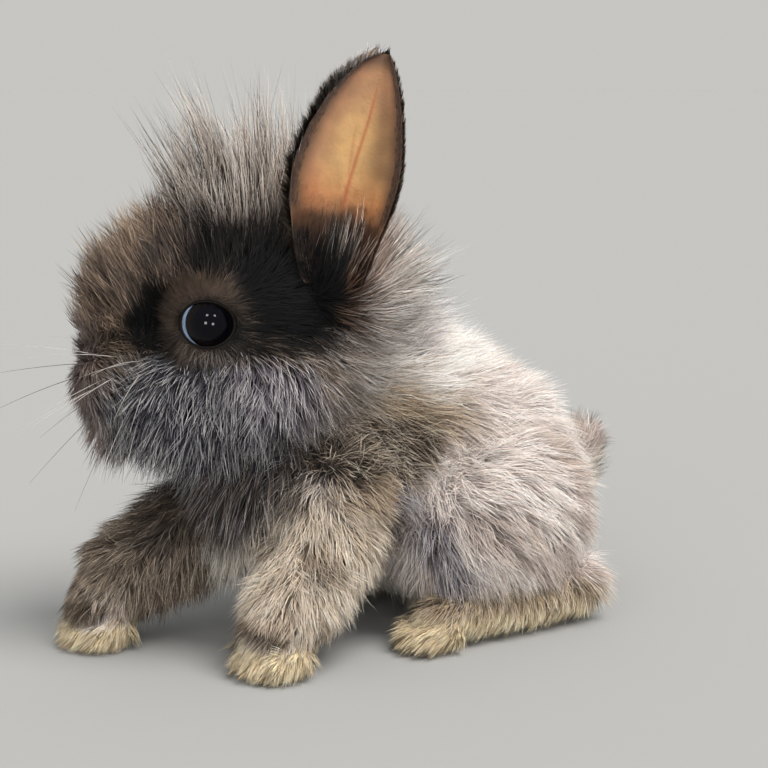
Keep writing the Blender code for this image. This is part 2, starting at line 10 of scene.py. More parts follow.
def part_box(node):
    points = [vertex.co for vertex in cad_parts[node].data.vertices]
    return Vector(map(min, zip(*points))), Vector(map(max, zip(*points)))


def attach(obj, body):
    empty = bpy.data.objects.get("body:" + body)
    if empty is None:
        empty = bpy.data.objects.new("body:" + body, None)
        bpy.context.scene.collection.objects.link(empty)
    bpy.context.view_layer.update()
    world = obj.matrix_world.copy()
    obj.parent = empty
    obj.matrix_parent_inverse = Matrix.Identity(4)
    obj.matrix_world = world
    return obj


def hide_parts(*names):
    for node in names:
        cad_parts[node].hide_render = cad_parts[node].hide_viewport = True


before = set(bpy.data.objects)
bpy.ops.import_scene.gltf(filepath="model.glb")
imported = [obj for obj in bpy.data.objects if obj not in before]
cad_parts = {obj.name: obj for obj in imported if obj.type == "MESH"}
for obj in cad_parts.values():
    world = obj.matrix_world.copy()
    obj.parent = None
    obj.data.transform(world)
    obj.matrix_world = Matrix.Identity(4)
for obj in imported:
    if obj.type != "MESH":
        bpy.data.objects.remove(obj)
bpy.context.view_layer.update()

# Shapes are drawn in millimetres. The body faces -Y with its left side towards +X, and the head has
# a frame of its own, with forward, left and up measured from between the eyes.
headPose = {"place": (-4.0, -7.0, 75.5), "turn": 40.0}
headMatrix = Matrix.Translation(headPose["place"]) @ Matrix.Rotation(
    math.radians(-90 - headPose["turn"]), 4, "Z"
)
bodyMatrix = Matrix.Identity(4)
headAxes = np.array(headMatrix.to_3x3())
headCentre = np.array(headPose["place"])
# the eyeball, where it looks, and the opening between its lids
eyeLook = {
    "radius": 6.15, "out": 12.6, "cornea": 0.2, "bulge": (15, 50),
    "gaze": (-0.23, 1.0, 0.05), "pupil": 40.0, "iris": 59.0,
    "opening": (5.8, 4.95), "lidThick": 0.34, "lidOver": 0.1, "skinUnder": 0.7, "skinReach": 1.75,
    "sidesFrom": 9.0, "hairFrom": 11.0, "openTo": 0.97, "clearTo": 0.96,
}


def inHead(points):
    return (points - headCentre) @ headAxes


def fromHead(points):
    return np.asarray(points, float) @ headAxes.T + headCentre


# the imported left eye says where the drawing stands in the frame
eyeLow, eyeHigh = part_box("left_eye")
anchor = np.array((eyeLow + eyeHigh) / 2) - 0.001 * fromHead((0.0, eyeLook["out"], 0.0))
floorLevel = -1000 * anchor[2]


def toFrame(points):
    return np.asarray(points, float) * 0.001 + anchor


def unit(vectors):
    return vectors / np.maximum(np.linalg.norm(vectors, axis=-1, keepdims=True), 1e-9)


def paint(red, green, blue):
    return np.array([(value / 255) ** 2.2 for value in (red, green, blue)])


def softStep(low, high, value):
    share = np.clip((value - low) / (high - low), 0.0, 1.0)
    return share * share * (3 - 2 * share)


def blendTo(tint, other, share):
    return tint + (other - tint) * np.asarray(share)[:, None]


noiseTable = np.random.default_rng(5).uniform(-1, 1, (32, 32, 32, 3))


# three smooth random values at each point, from -1 to 1
def softNoise(points, size):
    scaled = np.asarray(points) / size
    cell = np.floor(scaled).astype(int)
    part = scaled - cell
    part = part * part * (3 - 2 * part)
    total = np.zeros((len(points), 3))
    for corner in range(8):
        step = np.array([corner & 1, corner >> 1 & 1, corner >> 2 & 1])
        share = np.prod(np.where(step, part, 1 - part), axis=1)
        at = (cell + step) % 32
        total += share[:, None] * noiseTable[at[:, 0], at[:, 1], at[:, 2]]
    return total


# a mesh piece from arrays: a tint on each point, a map for baking, and the way each point is lit
def makePiece(name, corners, faces, material, tints=None, uvs=None, facing=None):
    mesh = bpy.data.meshes.new(name)
    faces = np.asarray(faces, np.int32)
    mesh.vertices.add(len(corners))
    mesh.vertices.foreach_set("co", toFrame(corners).astype(np.float32).ravel())
    mesh.loops.add(faces.size)
    mesh.loops.foreach_set("vertex_index", faces.ravel())
    mesh.polygons.add(len(faces))
    mesh.polygons.foreach_set("loop_start", np.arange(len(faces), dtype=np.int32) * faces.shape[1])
    if uvs is not None:
        layer = mesh.uv_layers.new(name="OFBake")
        layer.uv.foreach_set("vector", np.asarray(uvs, np.float32)[faces.ravel()].ravel())
    if tints is not None:
        layer = mesh.color_attributes.new(name="tint", type="FLOAT_COLOR", domain="POINT")
        rgba = np.ones((len(corners), 4), np.float32)
        rgba[:, :3] = tints
        layer.data.foreach_set("color", rgba.ravel())
    mesh.update(calc_edges=True)
    mesh.shade_smooth()
    if facing is not None:
        mesh.normals_split_custom_set_from_vertices(facing.astype(np.float32))
    piece = bpy.data.objects.new(name, mesh)
    bpy.context.scene.collection.objects.link(piece)
    mesh.materials.append(material)
    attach(piece, "root")
    return piece


def gridFaces(rows, columns, closedAcross=False, closedAlong=False):
    row, column = np.meshgrid(
        np.arange(rows if closedAlong else rows - 1),
        np.arange(columns if closedAcross else columns - 1), indexing="ij",
    )
    row, column = row.ravel(), column.ravel()
    nextRow, nextColumn = (row + 1) % rows, (column + 1) % columns
    return np.stack([
        row * columns + column, row * columns + nextColumn,
        nextRow * columns + nextColumn, nextRow * columns + column,
    ], axis=1)


# Finishes
def newMaterial(name, roughness, specular=0.5):
    material = bpy.data.materials.new(name)
    material.use_nodes = True
    shader = material.node_tree.nodes["Principled BSDF"]
    shader.inputs["Roughness"].default_value = roughness
    shader.inputs["Specular IOR Level"].default_value = specular
    return material, material.node_tree, shader


# the tint of the mesh, mottled by noise, with an optional bump of its own
def tintedMaterial(name, roughness, specular, mottleScale, mottle, bumpScale=0, bump=0.0):
    material, tree, shader = newMaterial(name, roughness, specular)
    nodes, links = tree.nodes, tree.links
    tint = nodes.new("ShaderNodeAttribute")
    tint.attribute_name = "tint"
    place = nodes.new("ShaderNodeTexCoord")
    noise = nodes.new("ShaderNodeTexNoise")
    noise.inputs["Scale"].default_value = mottleScale
    noise.inputs["Detail"].default_value = 4
    spread = nodes.new("ShaderNodeMapRange")
    spread.inputs["From Min"].default_value = 0.3
    spread.inputs["From Max"].default_value = 0.7
    spread.inputs["To Min"].default_value = 1.0 - mottle
    spread.inputs["To Max"].default_value = 1.0 + mottle
    blend = nodes.new("ShaderNodeVectorMath")
    blend.operation = "MULTIPLY"
    links.new(place.outputs["Object"], noise.inputs["Vector"])
    links.new(noise.outputs["Fac"], spread.inputs["Value"])
    links.new(tint.outputs["Color"], blend.inputs[0])
    links.new(spread.outputs["Result"], blend.inputs[1])
    links.new(blend.outputs["Vector"], shader.inputs["Base Color"])
    if bump:
        grain = nodes.new("ShaderNodeTexNoise")
        grain.inputs["Scale"].default_value = bumpScale
        grain.inputs["Detail"].default_value = 6
        relief = nodes.new("ShaderNodeBump")
        relief.inputs["Strength"].default_value = bump
        relief.inputs["Distance"].default_value = 0.0004
        links.new(place.outputs["Object"], grain.inputs["Vector"])
        links.new(grain.outputs["Fac"], relief.inputs["Height"])
        links.new(relief.outputs["Normal"], shader.inputs["Normal"])
    return material


def shaderOf(material):
    return material.node_tree.nodes["Principled BSDF"]


furMaterial = tintedMaterial("softFur", 0.62, 0.22, 900, 0.14)
skinMaterial = tintedMaterial("skinUnderFur", 0.75, 0.25, 500, 0.25, 2600, 0.7)
earMaterial = tintedMaterial("thinEarSkin", 0.55, 0.25, 260, 0.14, 1500, 0.3)
shaderOf(earMaterial).inputs["Subsurface Weight"].default_value = 0.25
shaderOf(earMaterial).inputs["Subsurface Radius"].default_value = (0.003, 0.0012, 0.0006)
shaderOf(earMaterial).inputs["Subsurface Scale"].default_value = 1.0
lidMaterial = tintedMaterial("lidSkin", 0.6, 0.15, 900, 0.3, 3500, 0.4)
eyeMaterial = tintedMaterial("wetEye", 0.3, 0.0, 1600, 0.3)
shaderOf(eyeMaterial).inputs["Coat Weight"].default_value = 1.0
shaderOf(eyeMaterial).inputs["Coat Roughness"].default_value = 0.012
shaderOf(eyeMaterial).inputs["Coat IOR"].default_value = 1.24
hornMaterial = tintedMaterial("hornyClaw", 0.35, 0.5, 1200, 0.2)
whiskerMaterial = tintedMaterial("whisker", 0.45, 0.4, 300, 0.1)

# Skin
flesh = {
    "head": [
        ((-8, 0, 3), (21, 15.5, 15)), ((9, 0, 7), (12.4, 10, 10)), ((-6, 0, 15), (10, 7.5, 8)),
        ((17, 0, 1.5), (10.8, 8.2, 9.6)), ((17.6, 0, -12), (13, 9.2, 10.8)),
        ((21.8, 0, -22), (7.2, 5.6, 5.2)), ((26, 0, -4), (4.4, 4.6, 5.6)),
        ((29.4, 0, -8.6), (2.6, 3.4, 2.9)), ((8, 0, -18), (13, 8.5, 8)), ((-20, 0, -4), (12, 13, 13)),
    ],
    "headPairs": [
        ((23.2, 4.2, -14), (7.9, 6.0, 7.2)), ((2, 8, -16), (13.5, 8.5, 10)), ((-10, 9, -12), (14, 8.5, 11)),
        ((0, 11.6, 0), (8.4, 4.4, 8.8)), ((-28, 9.5, 7), (8, 6, 8)),
    ],
    "body": [
        ((2, 24, 58), (15, 15, 15)), ((0, 8, 56), (13, 14, 14)), ((0, 8, 38), (17, 19, 19)),
        ((0, 27, 40), (21, 26, 23)), ((0, 42, 44), (20, 22, 19)), ((0, 52, 31), (24, 30, 25)),
        ((20, 51, 24.5), (13, 23, 20)), ((-20, 51, 24.5), (13, 23, 20)),
    ],
    "limbs": [
        [(15, 9, 39, 10.5), (17, 6.2, 27, 10), (19.4, -2, 16, 8.4), (20, -8, 9, 7.0)],
        [(-15, 9, 39, 10.5), (-17, -1.5, 27, 10), (-19.4, -24, 16, 8.4), (-20, -30, 9, 7.0)],
        [(26, 70, 8.6, 6.4), (26, 49.3, 7.6, 5.7), (26, 32, 6.8, 4.8)],
        [(-26, 70, 8.6, 6.4), (-26, 49.3, 7.6, 5.7), (-26, 32, 6.8, 4.8)],
        [(0, 86, 24, 4.2), (0, 94, 30, 4.2), (0, 96, 35, 3.2)],
    ],
    "toes": [
        {"x": 20, "y": -15, "radius": 2.9, "spread": 11.5},
        {"x": -20, "y": -37, "radius": 2.9, "spread": 11.5},
        {"x": 26, "y": 24, "radius": 2.5, "spread": 8.8},
        {"x": -26, "y": 24, "radius": 2.5, "spread": 8.8},
    ],
    "toesOfFoot": 4, "toeArch": 0.08, "voxel": 0.85, "softenings": 5,
    "fineCuts": 2, "finePlaces": [((27, 0, -12), 10.0), ((0, 14.5, 0), 9.0), ((0, -14.5, 0), 9.0)],
}
# creases on the front of the face, as left and up places, with their depth and width
creases = {
    "nostril": {"line": [(0.8, -9.9), (1.8, -8.7), (3.1, -7.3)], "deep": 1.5, "wide": 0.55},
    "cleft": {"line": [(0.0, -9.6), (0.0, -13.0), (0.0, -17.6)], "deep": 1.1, "wide": 0.5},
    "mouth": {"line": [(0.0, -17.8), (3.0, -18.6), (6.0, -19.4), (8.2, -19.6)], "deep": 1.3, "wide": 0.65},
}
# where the face starts to be creased, and the low lip that each crease raises beside it
creaseLook = {"front": (16, 20), "lipAway": 1.6, "lipWide": 0.7, "lipHigh": 0.12}


def addEgg(shape, place, centre, radii):
    matrix = place @ Matrix.Translation(centre) @ Matrix.Diagonal((*radii, 1.0))
    bmesh.ops.create_icosphere(shape, subdivisions=3, radius=1.0, matrix=matrix)


def addLimb(shape, joints):
    for start, end in zip(joints, joints[1:]):
        length = (Vector(end[:3]) - Vector(start[:3])).length
        count = max(2, round(length / (0.25 * min(start[3], end[3]))))
        for step in range(count + 1):
            share = step / count
            x, y, z, radius = (a + (b - a) * share for a, b in zip(start, end))
            bmesh.ops.create_icosphere(
                shape, subdivisions=2, radius=radius, matrix=Matrix.Translation((x, y, z))
            )


# pushes skin points in along the creases: nostrils, the cleft under the nose, the line of the mouth
def sculptFace(points, normals):
    local = inHead(points)
    onFace = softStep(*creaseLook["front"], local[:, 0])
    across = np.stack([np.abs(local[:, 1]), local[:, 2]], axis=1)
    push = np.zeros(len(points))
    for crease in creases.values():
        near = np.full(len(points), 1e9)
        for start, end in zip(crease["line"], crease["line"][1:]):
            start, along = np.array(start), np.array(end, float) - np.array(start)
            share = np.clip(((across - start) @ along) / (along @ along), 0, 1)
            near = np.minimum(near, np.linalg.norm(across - start - share[:, None] * along, axis=1))
        push = np.maximum(push, crease["deep"] * np.exp(-(near / crease["wide"]) ** 2))
        lip = np.exp(-((near - creaseLook["lipAway"]) / creaseLook["lipWide"]) ** 2)
        push -= creaseLook["lipHigh"] * crease["deep"] * lip
    return points - normals * (push * onFace)[:, None]


# how far a place by the eye is from its middle, 1 on the edge of the lids
def lidReach(local):
    return np.hypot(local[..., 0] / eyeLook["opening"][0], local[..., 2] / eyeLook["opening"][1])


def ballOut(forward, up, radius):
    return eyeLook["out"] + np.sqrt(np.maximum(radius ** 2 - forward ** 2 - up ** 2, 0.0))


# draws the skin up to the rims of the lids, and behind the ball between them
def settleLids(points):
    local = inHead(points)
    reach = lidReach(local)
    side = np.where(local[:, 1] < 0, -1.0, 1.0)
    out = local[:, 1] * side
    shrink = 1 / np.maximum(reach, 1.0)
    rim = ballOut(local[:, 0] * shrink, local[:, 2] * shrink, eyeLook["radius"] + eyeLook["lidOver"])
    under = ballOut(local[:, 0], local[:, 2], eyeLook["radius"] - eyeLook["skinUnder"])
    beside = 1 - softStep(1.0, eyeLook["skinReach"], reach)
    fitted = np.where(reach < eyeLook["openTo"], np.minimum(out, under), out + (rim - out) * beside)
    near = (out > eyeLook["sidesFrom"]) & (reach < eyeLook["skinReach"])
    local[:, 1] = np.where(near, fitted, out) * side
    return fromHead(local)


# where each toe of a foot stands, and how far it is from the middle of the foot
def toePlaces(toe):
    for index in range(flesh["toesOfFoot"]):
        across = (index / (flesh["toesOfFoot"] - 1) - 0.5) * toe["spread"]
        yield toe["x"] + across, toe["y"] + flesh["toeArch"] * across * across, across


def buildSkin():
    shape = bmesh.new()
    for centre, radii in flesh["head"]:
        addEgg(shape, headMatrix, centre, radii)
    for (forward, left, up), radii in flesh["headPairs"]:
        for side in (1, -1):
            addEgg(shape, headMatrix, (forward, left * side, up), radii)
    for centre, radii in flesh["body"]:
        addEgg(shape, bodyMatrix, centre, radii)
    for joints in flesh["limbs"]:
        addLimb(shape, joints)
    for toe in flesh["toes"]:
        radius = toe["radius"]
        for x, y, _ in toePlaces(toe):
            addLimb(shape, [(x, y + 6, radius + 2.2, radius), (x, y + 1.5, radius + 1.6, radius * 0.9)])
    mesh = bpy.data.meshes.new("skinDraft")
    shape.to_mesh(mesh)
    shape.free()
    draft = bpy.data.objects.new("skinDraft", mesh)
    bpy.context.scene.collection.objects.link(draft)
    melt = draft.modifiers.new("melt", "REMESH")
    melt.mode = "VOXEL"
    melt.voxel_size = flesh["voxel"]
    soften = draft.modifiers.new("soften", "SMOOTH")
    soften.factor = 0.5
    soften.iterations = flesh["softenings"]
    graph = bpy.context.evaluated_depsgraph_get()
    melted = bpy.data.meshes.new_from_object(draft.evaluated_get(graph))
    bpy.data.objects.remove(draft)
    shape = bmesh.new()
    shape.from_mesh(melted)
    fineFaces = set()
    for place, reach in flesh["finePlaces"]:
        middle = headMatrix @ Vector(place)
        fineFaces |= {face for face in shape.faces if (face.calc_center_median() - middle).length < reach}
    edges = list({edge for face in sorted(fineFaces, key=lambda face: face.index) for edge in face.edges})
    edges.sort(key=lambda edge: edge.index)
    bmesh.ops.subdivide_edges(shape, edges=edges, cuts=flesh["fineCuts"], use_grid_fill=True)
    bmesh.ops.triangulate(shape, faces=shape.faces)
    shape.to_mesh(melted)
    shape.free()
    return melted


def meshArrays(mesh):
    points = np.empty(len(mesh.vertices) * 3)
    mesh.vertices.foreach_get("co", points)
    triangles = np.empty(len(mesh.loops), np.int32)
    mesh.loops.foreach_get("vertex_index", triangles)
    return points.reshape(-1, 3), triangles.reshape(-1, 3)


def pointNormals(points, triangles):
    a, b, c = (points[triangles[:, k]] for k in range(3))
    across = np.cross(b - a, c - a)
    normals = np.zeros_like(points)
    for k in range(3):
        np.add.at(normals, triangles[:, k], across)
    return unit(normals)


# Markings
# each tone has its colour at the root, along the middle and at the tip, and how many tips are pale
tones = {
    "agouti": (paint(50, 44, 42), paint(112, 97, 84), paint(150, 132, 114), 0.5),
    "browTan": (paint(46, 39, 36), paint(134, 114, 100), paint(244, 216, 186), 0.6),
    "headDark": (paint(34, 30, 31), paint(66, 58, 56), paint(118, 104, 96), 0.35),
    "black": (paint(8, 8, 10), paint(14, 14, 16), paint(26, 25, 28), 0.15),
    "ringGold": (paint(58, 48, 41), paint(78, 66, 57), paint(86, 72, 61), 0.5),
    # the cheek's pure white tips are partly real pale ticking and partly painted glints
    "steel": (paint(24, 24, 30), paint(54, 53, 64), paint(255, 255, 255), 0.45),
    "lavender": (paint(60, 57, 62), paint(112, 106, 116), paint(250, 246, 250), 0.6),
    "muzzle": (paint(74, 64, 61), paint(134, 119, 114), paint(170, 156, 150), 0.5),
    "nose": (paint(120, 100, 94), paint(140, 120, 112), paint(156, 136, 128), 0.4),
    "crownCream": (paint(40, 34, 33), paint(70, 60, 56), paint(255, 242, 230), 0.9),
    "crownPale": (paint(70, 58, 52), paint(168, 150, 134), paint(252, 238, 222), 0.9),
    "cream": (paint(220, 206, 198), paint(252, 242, 234), paint(255, 252, 248), 0.9),
    "gold": (paint(170, 150, 130), paint(238, 218, 194), paint(252, 240, 222), 0.8),
    "streak": (paint(90, 84, 88), paint(150, 143, 147), paint(226, 218, 220), 0.6),
    "shoulder": (paint(26, 22, 21), paint(74, 64, 56), paint(246, 230, 208), 0.5),
    "shoulderTan": (paint(56, 47, 40), paint(148, 129, 108), paint(220, 202, 176), 0.6),
    "flank": (paint(196, 183, 178), paint(232, 219, 213), paint(248, 240, 235), 0.85),
    "flankBrown": (paint(104, 92, 88), paint(172, 155, 146), paint(232, 218, 208), 0.6),
    "belly": (paint(180, 172, 162), paint(226, 218, 206), paint(240, 234, 226), 0.8),
    # dark brown painted as shade under the head, under the jaw and behind the forelegs
    "bibBrown": (paint(34, 30, 28), paint(66, 57, 51), paint(136, 122, 110), 0.4),
    "armCream": (paint(110, 97, 84), paint(218, 199, 178), paint(250, 240, 224), 0.75),
    "armDark": (paint(44, 38, 35), paint(92, 80, 70), paint(160, 144, 126), 0.4),
    "buff": (paint(80, 68, 56), paint(160, 141, 116), paint(214, 196, 166), 0.6),
    "pawDark": (paint(40, 34, 29), paint(78, 67, 56), paint(128, 112, 92), 0.4),
    "sole": (paint(182, 160, 124), paint(226, 204, 166), paint(246, 230, 200), 0.9),
    "earBack": (paint(50, 44, 42), paint(96, 83, 74), paint(150, 134, 118), 0.4),
    "earBrown": (paint(60, 44, 36), paint(108, 80, 62), paint(136, 104, 80), 0.5),
    "earTan": (paint(84, 72, 60), paint(160, 140, 116), paint(220, 204, 182), 0.6),
}
toneNames = list(tones)
# soft dabs of tone in the order they are painted: the frame, the tone, the middle and the size. They are
# the same on both sides unless they are of one limb. "to" draws a dab out along a line, "hold" lets what
# is under it through, "patchy" breaks it up
marks = [
    ("body", "flank", (0, 40, 40), (70, 90, 60)),
    ("body", "flankBrown", (0, 46, 72), (13, 12, 10), {"to": (0, 84, 54), "hold": 0.75}),
    ("body", "flankBrown", (24, 56, 60), (12, 4.5, 6), {"to": (34, 72, 22), "hold": 0.8}),
    ("body", "flankBrown", (22, 80, 50), (14, 5, 7), {"to": (30, 88, 16), "hold": 0.75}),
    ("body", "flankBrown", (34, 40, 26), (8, 6, 5), {"to": (34, 74, 8), "hold": 0.6}),
    ("body", "flankBrown", (28, 50, 40), (20, 40, 30), {"hold": 0.4, "patchy": 7.0}),
    ("body", "belly", (0, 30, 6), (24, 40, 9)),
    # painted shade on the breast under the head
    ("body", "bibBrown", (0, -8, 32), (16, 14, 20), {"hold": 0.85}),
    ("body", "belly", (0, -6, 18), (13, 14, 8)),
    ("body", "cream", (0, 34, 72), (36, 30, 24)),
    ("body", "gold", (24, 44, 60), (10, 11, 6.5), {"hold": 0.8}),
    ("body", "streak", (16, 24, 79), (9, 8, 4.0), {"to": (30, 34, 69), "hold": 0.85}),
    ("body", "shoulderTan", (26, 21, 51), (14, 26, 13)),
    ("body", "shoulder", (27, 19, 47), (13, 20, 11)),
    ("body", "shoulderTan", (27, 16, 37), (11, 15, 5), {"hold": 0.75}),
    ("body", "lavender", (27, 24, 34), (9, 5, 6), {"to": (32, 34, 14), "hold": 0.85}),
    # painted shade behind each foreleg where it meets the body
    ("body", "bibBrown", (22, 22, 24), (8, 5, 9), {"hold": 0.8}),
    ("body", "shoulderTan", (26, 12, 30), (12, 8, 9), {"hold": 0.75}),
    ("left", "armCream", (20, -2, 20), (13, 19, 19)),
    ("left", "armDark", (20, -2, 20), (14, 19, 19), {"hold": 0.55, "patchy": 4.0}),
    ("right", "armCream", (-20, -16, 20), (13, 26, 19)),
    ("right", "armDark", (-20, -16, 20), (14, 26, 19), {"hold": 0.8}),
    ("left", "pawDark", (20, -17, 9), (14, 8, 2.6), {"hold": 0.8}),
    ("right", "pawDark", (-20, -39, 9), (14, 8, 2.6), {"hold": 0.8}),
    ("body", "buff", (26, 46, 5), (13, 38, 8), {"hold": 0.9}),
    ("body", "sole", (22, 10, 0.5), (34, 95, 6.4), {"hold": 0.95}),
    ("body", "belly", (0, 96, 24), (12, 14, 9)),
    ("body", "flankBrown", (0, 96, 40), (12, 14, 9), {"hold": 0.7}),
    ("head", "agouti", (4, 0, 2), (38, 32, 34)),
    ("head", "browTan", (20, 0, 13), (18, 18, 17)),
    ("head", "headDark", (18, 0, 10), (17, 17, 16), {"hold": 0.6, "patchy": 3.0}),
    ("head", "headDark", (0, 14, 15), (17, 14, 9), {"hold": 0.85}),
    ("head", "crownCream", (-6, 0, 24), (15, 13, 11)),
    ("head", "crownPale", (-17, 0, 26), (8, 8.5, 12), {"hold": 0.85}),
    # the steel grey of the cheek, whose white tips are partly painted glints
    ("head", "steel", (4, 14, -27), (28, 20, 22)),
    ("head", "shoulder", (-28, 16, -25), (9, 10, 12), {"hold": 0.85}),
    # painted shade under the back of the jaw and under the jaw
    ("head", "bibBrown", (-19, 15, -29), (8, 9, 9), {"hold": 0.85}),
    ("head", "bibBrown", (-4, 16, -38), (18, 14, 7), {"hold": 0.7}),
    ("head", "lavender", (-14, 16, -15), (9.5, 9, 7), {"hold": 0.9}),
    # painted shade on the throat under the chin
    ("head", "bibBrown", (10, 10, -48), (16, 14, 7), {"hold": 0.75}),
    ("head", "muzzle", (30, 0, -18), (8.5, 13, 19)),
    ("head", "nose", (32, 0, -9), (3.2, 4, 3.2)),
    ("head", "black", (12, 12, -0.5), (7.5, 9, 9)),
    ("head", "black", (-4, 15, 14), (15, 9, 4.4), {"hold": 0.85}),
    ("head", "black", (-6, 15, -3), (8, 8, 4.0), {"to": (-20, 15, -4), "hold": 0.85}),
    ("head", "black", (-20, 15, 7), (15, 12, 11.5)),
    ("head", "cream", (-52, 0, 10), (21, 15.5, 26)),
    ("head", "cream", (-56, 0, 8), (18, 30, 26)),
    ("head", "earBrown", (-32.5, 15, 10), (3.0, 8, 12), {"hold": 0.6}),
    ("head", "streak", (-34, 15, -5), (8, 9, 5), {"to": (-44, 8, -7), "hold": 0.75}),
    ("head", "ringGold", (1.8, 15, 2.6), (8.2, 7, 9.4), {"hold": 0.88}),
]


def zoneSpace(points, of):
    local = inHead(points) if of == "head" else points
    if of in ("head", "body"):
        axis = 1 if of == "head" else 0
        local = local.copy()
        local[:, axis] = np.abs(local[:, axis])
    return local


# 1 on the limb a mark or a zone belongs to, 0 elsewhere
def onLimb(points, of):
    sideways = {"left": points[:, 0], "right": -points[:, 0]}.get(of)
    return np.ones(len(points)) if sideways is None else (sideways > 4).astype(float)


# how far the borders of the marks wander, and where a mark starts to fade and ends
markLook = {"coarse": (1.5, 5.0), "fine": (0.8, 1.7), "fade": (0.76, 1.14), "patches": (-0.1, 0.35)}


def toneShares(points):
    (coarse, coarseSize), (fine, fineSize) = markLook["coarse"], markLook["fine"]
    wobble = coarse * softNoise(points, coarseSize) + fine * softNoise(points + 40, fineSize)
    shares = np.zeros((len(points), len(toneNames)))
    for of, tone, middle, size, *extras in marks:
        extra = extras[0] if extras else {}
        local = zoneSpace(points + wobble, of)
        start = np.array(middle, float)
        along = np.array(extra.get("to", middle), float) - start
        share = np.clip(((local - start) @ along) / max(along @ along, 1e-6), 0, 1)
        reach = np.linalg.norm((local - start - share[:, None] * along) / np.array(size), axis=1)
        cover = extra.get("hold", 1.0) * (1 - softStep(*markLook["fade"], reach)) * onLimb(points, of)
        if "patchy" in extra:
            patches = softNoise(points * (1, 1, 0.6) + 90, extra["patchy"])[:, 0]
            cover = cover * softStep(*markLook["patches"], patches)
        shares *= (1 - cover)[:, None]
        shares[:, toneNames.index(tone)] += cover
    return shares / np.maximum(shares.sum(axis=1, keepdims=True), 1e-6)


